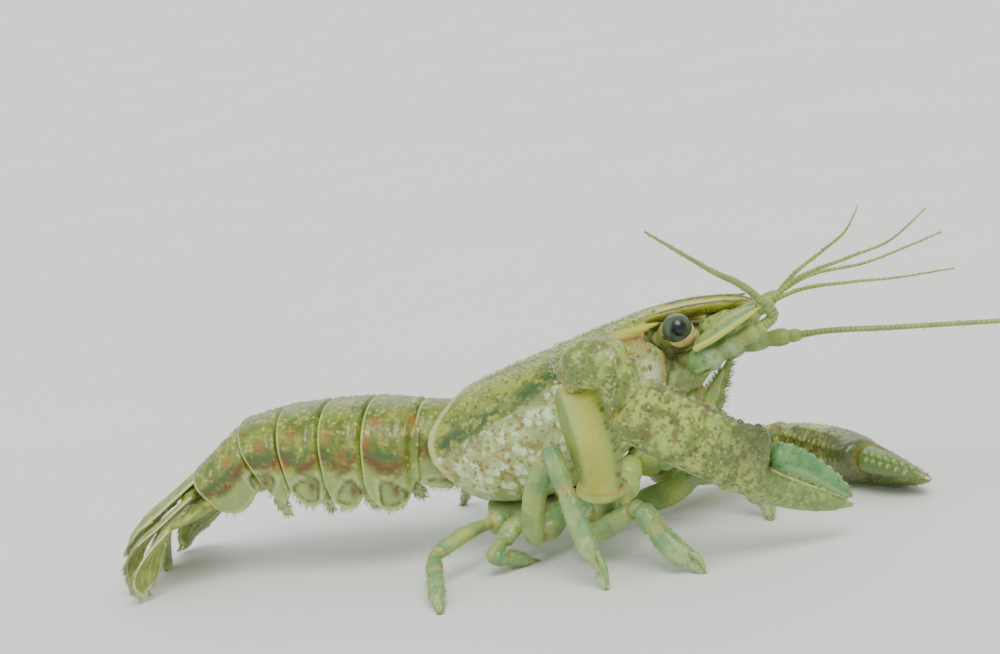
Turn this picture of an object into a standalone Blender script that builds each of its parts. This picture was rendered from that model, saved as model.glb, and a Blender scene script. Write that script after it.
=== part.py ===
"""Seminole crayfish at life size in one pose: head raised, claws reaching down, tail fan folded to the floor.

Everything is laid out in millimetres: x forward, y to the animal's left, z up from the floor, and x = 0 at
the back edge of the carapace on the midline. The finished objects are scaled to metres and hang on one empty
that brings the origin to the middle of the footprint.
"""
import bisect
import math

import bmesh
import bpy
import numpy as np
from mathutils import Matrix, Vector

MM = 0.001
GAP = 0.3

# Carapace, measured along x
GROOVE_TOP = 10.9
ORBIT = 22.4
ROSTRUM_TIP = 32.9
BACK_LINE = ((-3.0, 16.1), (0.0, 17.3), (3.4, 18.5), (6.9, 19.6), (10.9, 20.7), (15.9, 22.2),
             (20.3, 23.2), (26.6, 23.95), (30.2, 23.8), (32.9, 23.2))
LOW_MARGIN = ((-3.0, 8.4), (1.3, 6.0), (4.0, 5.5), (8.0, 5.7), (12.0, 6.7), (16.0, 8.7), (20.0, 11.7),
              (24.0, 15.0))
HALF_WIDTH = ((-3.0, 5.4), (0.0, 5.9), (4.0, 6.7), (8.0, 7.1), (12.0, 7.0), (16.0, 6.4), (20.0, 5.5),
              (24.0, 4.5))

# Abdomen, for each segment: x and z of its front edge on top, half widths at its front and rear, depths of
# its belly and of its side plates
SEGMENTS = (
    (1.6, 16.0, 4.2, 4.6, 6.4, 8.2),
    (-4.0, 16.8, 5.7, 6.0, 6.6, 10.6),
    (-9.4, 17.7, 6.1, 6.1, 6.4, 10.4),
    (-14.4, 17.9, 5.9, 5.8, 6.2, 9.8),
    (-19.4, 17.8, 5.6, 5.4, 6.0, 8.9),
    (-24.4, 16.9, 5.0, 4.3, 5.2, 6.9),
    (-30.7, 12.3, 4.0, 4.0, 3.4, 3.8),
)
FAN_LINE = ((-30.75, 0, 12.2), (-35.2, 0, 9.3), (-38.6, 0, 7.1), (-40.5, 0, 4.8), (-41.0, 0, 2.3),
            (-40.6, 0, -0.5))

EYE_RIGHT = (25.0, -5.0, 22.25)
EYE_LEFT = (24.8, 4.7, 21.6)
EYE_RADIUS = 1.5

OLIVE = (0.33, 0.33, 0.12)
BEIGE = (0.52, 0.47, 0.32)
PALE_GREEN = (0.47, 0.58, 0.36)
CLAW_GREEN = (0.25, 0.29, 0.10)
EMERALD = (0.08, 0.33, 0.20)
YELLOW = (0.60, 0.55, 0.18)
CREAM = (0.72, 0.62, 0.42)
NEARLY_BLACK = (0.02, 0.025, 0.04)


def clear_scene():
    for old in list(bpy.data.objects):
        bpy.data.objects.remove(old, do_unlink=True)


def collection(name):
    made = bpy.data.collections.new(name)
    bpy.context.scene.collection.children.link(made)
    return made


def profile(stations):
    """A smooth curve through (place, value) stations, held level beyond its ends."""
    places = [float(s[0]) for s in stations]
    values = [float(s[1]) for s in stations]
    slopes = np.gradient(values, places)

    def value(place):
        place = min(max(place, places[0]), places[-1])
        i = min(max(bisect.bisect_right(places, place) - 1, 0), len(places) - 2)
        span = places[i + 1] - places[i]
        t = (place - places[i]) / span
        from_start = values[i] * (1 + 2 * t) * (1 - t) ** 2 + slopes[i] * span * t * (1 - t) ** 2
        from_end = values[i + 1] * t * t * (3 - 2 * t) + slopes[i + 1] * span * t * t * (t - 1)
        return from_start + from_end

    return value


def spline(points):
    """A smooth space curve through the points, as a function of the share of its length."""
    points = [Vector(p) for p in points]
    steps = [0.0]
    for a, b in zip(points, points[1:]):
        steps.append(steps[-1] + (b - a).length)
    marks = [s / steps[-1] for s in steps]
    axes = [profile(tuple(zip(marks, axis))) for axis in zip(*points)]
    return lambda t: Vector((axes[0](t), axes[1](t), axes[2](t)))


def mirrored(points, side):
    """Points given for the left side, or swapped to the right when side is -1."""
    return [(x, y * side, z) for x, y, z in points]


def loft(rings, fan=True):
    """A closed skin over rings of equal count, its ends closed by fans of faces or, where a ring is hollow
    on one side, by flat faces."""
    mesh = bmesh.new()
    rows = [[mesh.verts.new(p) for p in ring] for ring in rings]
    count = len(rows[0])
    for low, high in zip(rows, rows[1:]):
        for i in range(count):
            j = (i + 1) % count
            mesh.faces.new((low[i], low[j], high[j], high[i]))
    ends = [mesh.faces.new(list(reversed(rows[0]))), mesh.faces.new(rows[-1])]
    if fan:
        bmesh.ops.poke(mesh, faces=ends)
    else:
        bmesh.ops.triangulate(mesh, faces=ends)
    bmesh.ops.recalc_face_normals(mesh, faces=mesh.faces)
    return mesh


def round_end(distance, radius):
    """How far a rounded end has opened at a distance from its tip."""
    if distance >= radius:
        return 1.0
    return max(0.35, math.sqrt(1 - (1 - distance / radius) ** 2))


def limb(path, wide, thick, flat=(0, 0, 1), rings=6, sides=8, blunt=(1.0, 1.0)):
    """A tapering oval tube along a path: wide along flat, thick across it, given by share of its length."""
    curve = spline(path)
    wide_at = profile(wide) if isinstance(wide, tuple) else (lambda t: wide)
    thick_at = profile(thick) if isinstance(thick, tuple) else (lambda t: thick)
    samples = [curve(i / 40) for i in range(41)]
    length = sum((b - a).length for a, b in zip(samples, samples[1:]))
    caps = [blunt[0] * wide_at(0.0) / length, blunt[1] * wide_at(1.0) / length]
    marks = [0.0, caps[0] * 0.3]
    marks += list(np.linspace(caps[0], 1 - caps[1], rings))
    marks += [1 - caps[1] * 0.3, 1.0]
    rows = []
    for t in marks:
        here = curve(t)
        ahead = (curve(min(t + 0.01, 1.0)) - curve(max(t - 0.01, 0.0))).normalized()
        across = Vector(flat) - ahead * ahead.dot(Vector(flat))
        across.normalize()
        other = ahead.cross(across)
        open_share = min(round_end(t, caps[0]), round_end(1 - t, caps[1]))
        a, b = wide_at(t) * open_share, thick_at(t) * open_share
        rows.append([here + across * (a * math.cos(2 * math.pi * i / sides))
                     + other * (b * math.sin(2 * math.pi * i / sides)) for i in range(sides)])
    return loft(rows)


def cone(base, tip, radius, sides=5, end=0.12):
    """A spine or tooth from a base point to a tip, end being the share of its radius left at the tip."""
    base, tip = Vector(base), Vector(tip)
    mesh = bmesh.new()
    height = (tip - base).length
    turn = (tip - base).to_track_quat("Z", "Y").to_matrix().to_4x4()
    place = Matrix.Translation((base + tip) / 2) @ turn
    bmesh.ops.create_cone(mesh, cap_ends=True, segments=sides, radius1=radius, radius2=radius * end,
                          depth=height, matrix=place)
    return mesh


def ball(centre, radius, squash=(1, 1, 1), segments=8, rings=5):
    mesh = bmesh.new()
    place = Matrix.Translation(centre) @ Matrix.Diagonal((*squash, 1))
    bmesh.ops.create_uvsphere(mesh, u_segments=segments, v_segments=rings, radius=radius, matrix=place)
    return mesh


def plate(surface, half_thick, along=9, across=7):
    """A curved plate: surface(u, v) gives its middle, half_thick(u, v) its half thickness."""
    upper, lower = [], []
    for i in range(along + 1):
        for j in range(across + 1):
            u, v = i / along, 2 * j / across - 1
            here = surface(u, v)
            du = surface(min(u + 0.01, 1), v) - surface(max(u - 0.01, 0), v)
            dv = surface(u, min(v + 0.02, 1)) - surface(u, max(v - 0.02, -1))
            normal = du.cross(dv).normalized()
            upper.append(here + normal * half_thick(u, v))
            lower.append(here - normal * half_thick(u, v))
    mesh = bmesh.new()
    top = [mesh.verts.new(p) for p in upper]
    low = [mesh.verts.new(p) for p in lower]
    row = across + 1
    for i in range(along):
        for j in range(across):
            a, b, c, d = i * row + j, i * row + j + 1, (i + 1) * row + j + 1, (i + 1) * row + j
            mesh.faces.new((top[a], top[b], top[c]))
            mesh.faces.new((top[a], top[c], top[d]))
            mesh.faces.new((low[a], low[c], low[b]))
            mesh.faces.new((low[a], low[d], low[c]))
    rim = [j for j in range(row)] + [i * row + across for i in range(1, along + 1)]
    rim += [along * row + j for j in range(across - 1, -1, -1)] + [i * row for i in range(along - 1, 0, -1)]
    for a, b in zip(rim, rim[1:] + rim[:1]):
        mesh.faces.new((top[a], low[a], low[b], top[b]))
    bmesh.ops.recalc_face_normals(mesh, faces=mesh.faces)
    return mesh


def cut_at_floor(mesh):
    """Trim a tip to a small flat on the floor."""
    parts = mesh.verts[:] + mesh.edges[:] + mesh.faces[:]
    bmesh.ops.bisect_plane(mesh, geom=parts, plane_co=(0, 0, 0), plane_no=(0, 0, 1), clear_inner=True)
    bmesh.ops.holes_fill(mesh, edges=[e for e in mesh.edges if e.is_boundary])
    return mesh


def finish_for(name, colour, roughness):
    material = bpy.data.materials.new(name + "_finish")
    material.use_nodes = True
    shader = material.node_tree.nodes["Principled BSDF"]
    shader.inputs["Base Color"].default_value = (*colour, 1)
    shader.inputs["Roughness"].default_value = roughness
    shader.inputs["Metallic"].default_value = 0.0
    return material


def raw_object(name, mesh, group):
    data = bpy.data.meshes.new(name)
    mesh.to_mesh(data)
    mesh.free()
    made = bpy.data.objects.new(name, data)
    group.objects.link(made)
    return made


def largest_surface(mesh):
    """Keep the closed surface that reaches furthest and drop any scrap."""
    left = set(mesh.faces)
    islands = []
    while left:
        start = left.pop()
        island, edge_of_search = {start}, [start]
        while edge_of_search:
            face = edge_of_search.pop()
            for edge in face.edges:
                for other in edge.link_faces:
                    if other in left:
                        left.remove(other)
                        island.add(other)
                        edge_of_search.append(other)
        islands.append(island)
    keep = max(islands, key=lambda found: sum(f.calc_area() for f in found))
    loose = [f for island in islands if island is not keep for f in island]
    if loose:
        bmesh.ops.delete(mesh, geom=loose, context="FACES")
        lone = [v for v in mesh.verts if not v.link_faces]
        bmesh.ops.delete(mesh, geom=lone, context="VERTS")


def in_triangles(mesh):
    """The mesh cut into triangles in the way that leaves every edge shared by exactly two faces."""
    for way in ("BEAUTY", "EAR_CLIP"):
        attempt = mesh.copy()
        bmesh.ops.triangulate(attempt, faces=attempt.faces, ngon_method=way)
        if all(len(edge.link_faces) == 2 for edge in attempt.edges):
            break
    mesh.free()
    return attempt


def node(name, body, colour, pieces=(), roughness=0.45, floor=False, solver="EXACT"):
    """One named solid: a body mesh with any smaller pieces fused on."""
    made = raw_object(name, body, crayfish)
    if pieces:
        tools = bpy.data.collections.new(name + "_pieces")
        cutters.children.link(tools)
        fused = [raw_object(f"{name}_piece_{i}", piece, tools) for i, piece in enumerate(pieces)]
        union = made.modifiers.new("join", "BOOLEAN")
        union.operation = "UNION"
        union.solver = solver
        union.operand_type = "COLLECTION"
        union.collection = tools
        bpy.context.view_layer.update()
        shape = made.evaluated_get(bpy.context.evaluated_depsgraph_get())
        joined = bpy.data.meshes.new_from_object(shape)
        made.modifiers.remove(union)
        made.data = joined
        for piece in fused:
            bpy.data.objects.remove(piece, do_unlink=True)
        bpy.data.collections.remove(tools)
    mesh = bmesh.new()
    mesh.from_mesh(made.data)
    largest_surface(mesh)
    if floor:
        cut_at_floor(mesh)
    mesh = in_triangles(mesh)
    mesh.transform(Matrix.Scale(MM, 4))
    mesh.to_mesh(made.data)
    mesh.free()
    made.data.shade_smooth()
    made.data.set_sharp_from_angle(angle=math.radians(50))
    made.data.materials.clear()
    made.data.materials.append(finish_for(name, colour, roughness))
    made.parent = origin
    return made


def feeler(name, path, root_radius, tip_radius, colour, points=24):
    """A flagellum: a tapering tube through a smooth path, left as a curve with filled ends."""
    curve = spline(path)
    data = bpy.data.curves.new(name, "CURVE")
    data.dimensions = "3D"
    data.bevel_depth = root_radius * MM
    data.bevel_resolution = 2
    data.use_fill_caps = True
    line = data.splines.new("POLY")
    line.points.add(points - 1)
    for i, point in enumerate(line.points):
        share = i / (points - 1)
        point.co = (*(curve(share) * MM), 1)
        point.radius = 1 + (tip_radius / root_radius - 1) * share
    data.materials.append(finish_for(name, colour, 0.5))
    made = bpy.data.objects.new(name, data)
    crayfish.objects.link(made)
    made.parent = origin
    return made


# Carapace

back_line = profile(BACK_LINE)
low_margin = profile(LOW_MARGIN)
half_width = profile(HALF_WIDTH)
rear_edge = profile(((0, 0), (30, -1.2), (62, -2.7), (90, -2.9), (115, -1.9), (140, 0.2), (180, 1.6)))
groove = profile(((0, 0), (30, 0.5), (60, 1.9), (90, 3.9), (120, 6.6), (150, 8.6), (180, 9.2)))
front_edge = profile(((0, -0.6), (28, -1.0), (45, -1.3), (60, -0.7), (76, 0.7), (95, 1.0), (120, 0.4),
                      (150, -0.9),
                      (180, -1.2)))


def shell_point(x, degrees, grow=0.0):
    """A point on the carapace: degrees from the top, round the side, to 180 underneath."""
    top, low, wide = back_line(x) + grow, low_margin(x) - grow, half_width(x) + grow
    middle = low + 0.52 * (top - low)
    a = math.radians(degrees)
    side = math.copysign(abs(math.sin(a)) ** (0.92 if math.cos(a) > 0 else 0.72), math.sin(a))
    if math.cos(a) >= 0:
        z = middle + (top - middle) * math.cos(a) ** 0.95
    else:
        z = middle - (middle - low) * abs(math.cos(a)) ** 0.72
    return Vector((x, wide * side, z))


def shell_ring(edge, grow=0.0, sides=32):
    """One ring of the carapace, its x a function of the angle from the top."""
    turns = [360 * i / sides for i in range(sides)]
    return [shell_point(edge(min(d, 360 - d)), d, grow) for d in turns]


def shell_rings(start, end, rings):
    """Rings evenly spaced between two edges."""
    return [shell_ring(lambda d, k=k: start(d) + (end(d) - start(d)) * k / rings) for k in range(rings + 1)]


def build_thorax():
    """The rear carapace, hollowed behind where the abdomen tucks in under its edge."""
    hollow = [shell_ring(lambda d: 3.2, grow=-0.8), shell_ring(rear_edge, grow=-0.7)]
    body = loft(hollow + shell_rings(rear_edge, lambda d: GROOVE_TOP + groove(d) - GAP / 2, 8))
    spines = []
    for side in (-1, 1):
        for degrees in (58, 68, 78):
            edge = GROOVE_TOP + groove(degrees)
            root = shell_point(edge - 1.4, degrees, -0.25)
            tip = shell_point(edge - 0.5, degrees, 0.55)
            spines.append(cone(*mirrored((root, tip), side), 0.36))
    node("thorax", body, BEIGE, spines)


def rostrum_body():
    """The flat beak between the eyes, hollowed above between two raised edges."""
    half = profile(((18.5, 2.9), (23.0, 2.75), (27.0, 2.2), (29.8, 1.6), (30.9, 1.0), (ROSTRUM_TIP, 0.22)))
    deep = profile(((18.5, 2.2), (24.0, 1.5), (29.0, 1.1), (ROSTRUM_TIP, 0.5)))
    rows = []
    for x in np.linspace(18.5, ROSTRUM_TIP, 11):
        w, top, d = half(x), back_line(x), deep(x)
        hollow = min(0.45, w * 0.35)
        outline = [(-w, -0.3), (-0.8 * w, 0.0), (-0.5 * w, -hollow), (0, -hollow * 1.1), (0.5 * w, -hollow),
                   (0.8 * w, 0.0), (w, -0.3), (0.62 * w, -d), (0, -1.15 * d), (-0.62 * w, -d)]
        rows.append([Vector((x, y, top + z)) for y, z in outline])
    return loft(rows)


def build_head():
    body = loft(shell_rings(lambda d: GROOVE_TOP + groove(d) + GAP / 2, lambda d: ORBIT + front_edge(d), 8))
    pieces = [rostrum_body()]
    for side in (-1, 1):
        tooth = back_line(29.9) - 0.35
        pieces.append(cone((29.3, side * 1.35, tooth), (31.3, side * 1.75, tooth + 0.1), 0.45))
        ridge = [(x, side * y, back_line(x) - drop) for x, y, drop in
                 ((15.5, 3.0, 0.75), (18.5, 3.3, 0.95), (22.0, 3.5, 1.1))]
        pieces.append(limb(ridge, ((0, 0.25), (1, 0.4)), 0.45, rings=4, sides=6))
        pieces.append(cone((21.6, side * 3.45, back_line(21.6) - 1.05),
                           (23.4, side * 3.7, back_line(21.6) - 0.7), 0.4))
        cheek = shell_point(22.6, 118)
        pieces.append(cone((22.3, side * (cheek.y - 0.3), cheek.z), (24.2, side * (cheek.y + 0.1), cheek.z),
                           0.4))
    node("head", body, OLIVE, pieces, solver="MANIFOLD")


def build_sternum():
    rows = []
    wide = profile(((1.0, 2.2), (5.0, 3.0), (14.0, 3.0), (19.5, 2.2)))
    for x in np.linspace(1.4, 19.2, 9):
        top = low_margin(x) - GAP
        deep = 2.4
        w = wide(x)
        outline = [(-w, 0), (0, 0), (w, 0), (w * 1.05, -deep * 0.5), (w * 0.8, -deep),
                   (0, -deep * 0.8), (-w * 0.8, -deep), (-w * 1.05, -deep * 0.5)]
        rows.append([Vector((x, y, top + z)) for y, z in outline])
    node("sternum", loft(rows), CREAM)


# Abdomen

def tergite_rings(index):
    """Rings of one abdominal segment: arched plate, rounded pleura at its sides, flat belly."""
    front, rear = SEGMENTS[index], SEGMENTS[index + 1]
    start, end = Vector((front[0], 0, front[1])), Vector((rear[0], 0, rear[1]))
    along = (end - start).normalized()
    length = (end - start).length - GAP
    tilt_front = along if index == 0 else heading(index - 1).lerp(along, 0.5).normalized()
    tilt_rear = along if index == 5 else along.lerp(heading(index + 1), 0.5).normalized()
    rows = []
    for t in (0.0, 0.1, 0.24, 0.42, 0.6, 0.78, 0.92, 1.0):
        forward = tilt_front.lerp(tilt_rear, t).normalized()
        down = Vector((-forward.z, 0, forward.x))
        step = 0.9 if t == 0 else (0.95 if t < 0.2 else 1.0 + 0.015 * t)
        wide = (front[2] + (front[3] - front[2]) * t) * step
        belly = front[4] + (rear[4] - front[4]) * t
        lobe = math.sin(math.pi * min(max((t + 0.04) / 1.08, 0), 1)) ** 0.45
        hang = belly + 0.5 + (front[5] - belly - 0.5) * lobe
        top = start + along * length * t + down * (1 - step) * 4.0
        shoulder = belly * 0.72
        outline = []
        for k in range(9):
            a = math.radians(90 * k / 8)
            outline.append((wide * math.sin(a) ** 0.9, shoulder * (1 - math.cos(a) ** 1.05)))
        outline.append((wide * 0.995, shoulder + (hang - shoulder) * 0.55))
        outline.append((wide * 0.955, hang))
        outline.append((wide * 0.955 - 0.55, hang - 0.05))
        outline.append((wide - 1.45, belly * 0.96))
        outline.append((wide * 0.4, belly))
        full = [(y, d) for y, d in outline] + [(-y, d) for y, d in reversed(outline[1:])]
        rows.append([top + down * d + Vector((0, y, 0)) for y, d in full])
    return rows


def heading(index):
    front, rear = SEGMENTS[index], SEGMENTS[index + 1]
    return (Vector((rear[0], 0, rear[1])) - Vector((front[0], 0, front[1]))).normalized()


def swimmeret(x, side, root_z, length):
    path = [(x, side * 2.6, root_z + 0.8), (x - 0.2, side * 2.9, root_z - length * 0.45),
            (x + 0.9, side * 2.6, root_z - length)]
    return limb(path, ((0, 0.5), (0.4, 0.5), (0.75, 0.75), (1, 0.3)), ((0, 0.45), (1, 0.3)), flat=(1, 0, 0),
                rings=3,
                sides=6)


def build_abdomen():
    for index in range(6):
        front, rear = SEGMENTS[index], SEGMENTS[index + 1]
        pieces = []
        if 1 <= index <= 4:
            middle = front[0] * 0.65 + rear[0] * 0.35
            belly = (front[1] - front[4] + rear[1] - rear[4]) / 2
            for side in (-1, 1):
                pieces.append(swimmeret(middle, side, belly, 5.0 if index > 1 else 3.6))
        node(f"abdomen_{index + 1}", loft(tergite_rings(index), fan=False), OLIVE, pieces)


# Middle lines of the two outer lobes, and which way their width runs
OUTER_KEEL = {"right": ((-31.9, -6.2, 7.9), (-33.8, -7.1, 6.3), (-35.2, -7.6, 4.2), (-35.7, -7.9, 1.5)),
              "left": ((-31.7, 7.0, 6.7), (-34.7, 8.5, 5.0), (-37.4, 9.3, 3.4), (-39.0, 9.4, 1.2))}
OUTER_SPREAD = {"right": (-0.5, -0.66, -0.5), "left": (-0.1, 0.72, -0.6)}

fan_line = spline(FAN_LINE)


def fan_point(share, drop, y):
    """A point below the top line of the fan, sideways by y."""
    ahead = (fan_line(min(share + 0.02, 1)) - fan_line(max(share - 0.02, 0))).normalized()
    return fan_line(share) + Vector((-ahead.z, 0, ahead.x)) * drop + Vector((0, y, 0))


def lobe_half(u, widest, blunt=0.55):
    """Half width of a tail lobe: narrow root, broad middle, round end."""
    rise = 0.55 + 0.45 * math.sin(min(u / 0.55, 1) * math.pi / 2)
    end = math.sqrt(max(1 - ((u - blunt) / (1.0 - blunt)) ** 2, 0.02)) if u > blunt else 1.0
    return widest * rise * end


def fin_rays(v, height):
    """Raised lines running out along a lobe: one in the middle, one either side."""
    return height * sum(math.exp(-((v - place) / 0.1) ** 2) for place in (-0.5, 0.0, 0.5))


def build_tail():
    def telson(u, v):
        half = lobe_half(u, 3.6, 0.72) if u > 0.3 else 3.3 + 0.3 * u
        return fan_point(0.76 * u, 0.5 + 0.045 * (half * v) ** 2, half * v)

    spines = []
    for side in (-1, 1):
        for v, reach in ((0.97, 0.16), (0.8, 0.12)):
            spines.append(cone(telson(0.5, side * v), telson(0.5 + reach, side * v * 1.04), 0.3))
    node("telson", plate(telson, lambda u, v: 0.42 - 0.16 * abs(v) * u + fin_rays(v, 0.14), 9, 8), YELLOW,
         spines)
    for side, name in ((-1, "right"), (1, "left")):
        def inner(u, v, side=side):
            half = lobe_half(u, 2.6)
            middle = 3.5 + 0.5 * math.sin(u * math.pi / 2)
            return fan_point(0.04 + 0.965 * u, 2.0 + 0.04 * (half * v) ** 2, side * (middle + half * v))

        def outer(u, v, keel=spline(OUTER_KEEL[name]), spread=Vector(OUTER_SPREAD[name])):
            return keel(u) + spread * (lobe_half(u, 2.9) * v)

        root = limb([(-29.3, side * 3.0, 8.4), (-31.3, side * 4.8, 7.8)], 1.2, 0.8, flat=(0, 1, 0), rings=3,
                    blunt=(0.5, 0.5))
        node(f"uropod_{name}_base", root, YELLOW)
        node(f"uropod_{name}_inner", plate(inner, lambda u, v: 0.3 - 0.05 * abs(v) + fin_rays(v, 0.12), 9, 8),
             YELLOW,
             floor=True)
        teeth = [cone(outer(0.6, v), outer(0.7, v * 1.02) + (outer(0.6, v) - outer(0.6, 0)) * 0.05, 0.32)
                 for v in (-0.97, 0.97)]
        node(f"uropod_{name}_outer", plate(outer, lambda u, v: 0.3 - 0.05 * abs(v) + fin_rays(v, 0.12), 9, 8),
             YELLOW,
             teeth)


# Head appendages

def build_eyes():
    for side, name, eye in ((-1, "right", Vector(EYE_RIGHT)), (1, "left", Vector(EYE_LEFT))):
        socket = Vector((eye.x - 2.0 + 0.5 * (side > 0), side * 3.6, eye.z - 1.2))
        toward = (eye - socket).normalized()
        end = eye - toward * (EYE_RADIUS * 0.62 + GAP)
        stalk = limb([socket, socket.lerp(end, 0.5), end], 1.05, 1.0, rings=3, sides=10, blunt=(0.4, 0.3))
        node(f"eyestalk_{name}", stalk, CREAM)
        cornea = ball(eye, EYE_RADIUS, segments=14, rings=9)
        flat_side = eye - toward * EYE_RADIUS * 0.62
        geometry = cornea.verts[:] + cornea.edges[:] + cornea.faces[:]
        cut = bmesh.ops.bisect_plane(cornea, geom=geometry, plane_co=flat_side, plane_no=toward,
                                     clear_inner=True)
        edges = [e for e in cut["geom_cut"] if isinstance(e, bmesh.types.BMEdge)]
        bmesh.ops.contextual_create(cornea, geom=edges)
        node(f"eye_{name}", cornea, NEARLY_BLACK, roughness=0.12)


def build_feelers():
    ends = {"right": ((-1, ((36.5, -1.7, 24.9), (42.6, -2.4, 26.8), (46.7, -2.9, 28.0), (50.7, -3.4, 30.8)),
                       ((36.8, -1.9, 24.0), (42.2, -2.8, 24.4), (46.8, -3.4, 24.4), (52.7, -4.2, 24.8)))),
            "left": ((1, ((36.4, 1.8, 25.2), (39.4, 2.2, 27.0), (41.7, 2.6, 28.5), (43.3, 3.2, 30.8)),
                      ((36.8, 2.0, 24.4), (43.8, 2.7, 25.2), (47.0, 3.0, 26.0), (51.0, 3.4, 27.1))))}
    for name, (side, upper, lower) in ends.items():
        root = [(27.0, side * 1.55, 20.9), (31.2, side * 1.55, 21.8), (34.4, side * 1.55, 23.3)]
        peduncle = limb(root, ((0, 1.0), (0.4, 1.1), (0.55, 0.82), (1, 0.55)),
                        ((0, 1.0), (0.5, 0.85), (1, 0.55)),
                        rings=5, sides=8)
        start = (34.0, side * 1.55, 23.1)
        whips = [limb([start, *way], ((0, 0.3), (0.6, 0.25), (1, 0.14)), ((0, 0.3), (0.6, 0.25), (1, 0.14)),
                      rings=8, sides=5) for way in (upper, lower)]
        node(f"antennule_{name}", peduncle, YELLOW, whips)
    bases = {"right": (-1, ((25.4, -4.4, 17.9), (29.6, -4.6, 19.7), (34.0, -4.5, 21.6))),
             "left": (1, ((25.4, 4.4, 17.6), (30.0, 4.5, 18.0), (35.6, 4.4, 18.2)))}
    for name, (side, way) in bases.items():
        base = limb(way, ((0, 1.2), (0.33, 1.15), (0.42, 0.98), (0.6, 0.96), (0.66, 0.8), (1, 0.62)),
                    ((0, 1.0), (0.34, 0.92), (0.5, 0.85), (1, 0.58)), rings=8, sides=9)
        root = Vector(way[0])
        thorn = cone(root + Vector((0.9, side * 0.9, -0.2)), root + Vector((2.5, side * 1.55, 0.3)), 0.4)
        node(f"antenna_base_{name}", base, PALE_GREEN, [thorn])
        lower = 0.0 if side < 0 else 0.6
        scale_root = Vector((26.6, side * (5.6 + lower * 0.6), 20.35 - lower))
        scale_tip = Vector((33.3, side * 5.5, 23.5 - 1.8 * lower))

        def blade(u, v, root=scale_root, tip=scale_tip, side=side):
            half = 1.35 * math.sin(math.pi * min(0.18 + u * 0.8, 1.0)) ** 0.8 + 0.12
            here = root.lerp(tip, u)
            return here + Vector((0.1, -side * 0.9, -0.12)).normalized() * half * (v + 0.3)

        node(f"antennal_scale_{name}", plate(blade, lambda u, v: 0.33 - 0.05 * u, 8, 4), YELLOW)
    right_whip = ((34.7, -4.5, 22.3), (33.6, -6.0, 24.6), (31.0, -14.0, 29.4), (27.6, -23.0, 35.2))
    left_whip = ((35.95, 4.4, 18.25), (45.4, 5.0, 17.7), (55.2, 6.2, 16.9), (66.0, 9.5, 15.6),
                 (76.0, 15.0, 13.6),
                 (83.0, 22.0, 11.0))
    feeler("antenna_right", right_whip, 0.42, 0.2, PALE_GREEN, 14)
    feeler("antenna_left", left_whip, 0.42, 0.2, PALE_GREEN, 24)


def build_mouth():
    """The face plate between the antennae, and the jaws below it."""
    face = []
    for x, w, low, high in ((23.6, 3.0, 13.9, 18.7), (24.6, 2.5, 14.6, 19.1), (25.8, 2.0, 15.6, 19.1),
                            (26.7, 1.3, 16.6, 18.7)):
        face.append([Vector((x, w * math.sin(a), (low + high) / 2 + (high - low) / 2 * math.cos(a)))
                     for a in (2 * math.pi * i / 12 for i in range(12))])
    node("face_plate", loft(face), CREAM)
    jaws = limb([(20.5, 0, 10.2), (22.2, 0, 11.3), (23.8, 0, 12.7)], ((0, 1.5), (0.5, 2.25), (1, 1.5)), 1.0,
                flat=(0, 1, 0), rings=4, sides=10, blunt=(0.4, 0.4))
    node("jaws", jaws, CREAM)


def build_maxillipeds():
    for side, name in ((-1, "right"), (1, "left")):
        way = [(19.8, side * 1.6, 7.7), (22.6, side * 2.1, 9.0), (25.4, side * 2.55, 11.8),
               (26.9, side * 2.75, 14.7), (28.3, side * 2.5, 17.0)]
        arm = limb(way, ((0, 1.1), (0.45, 1.15), (0.55, 0.85), (0.75, 0.95), (1, 0.3)), ((0, 0.8), (1, 0.35)),
                   flat=(0.5, 0, -1), rings=9, sides=8)
        node(f"maxilliped_{name}", arm, PALE_GREEN)


# Claws

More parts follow.
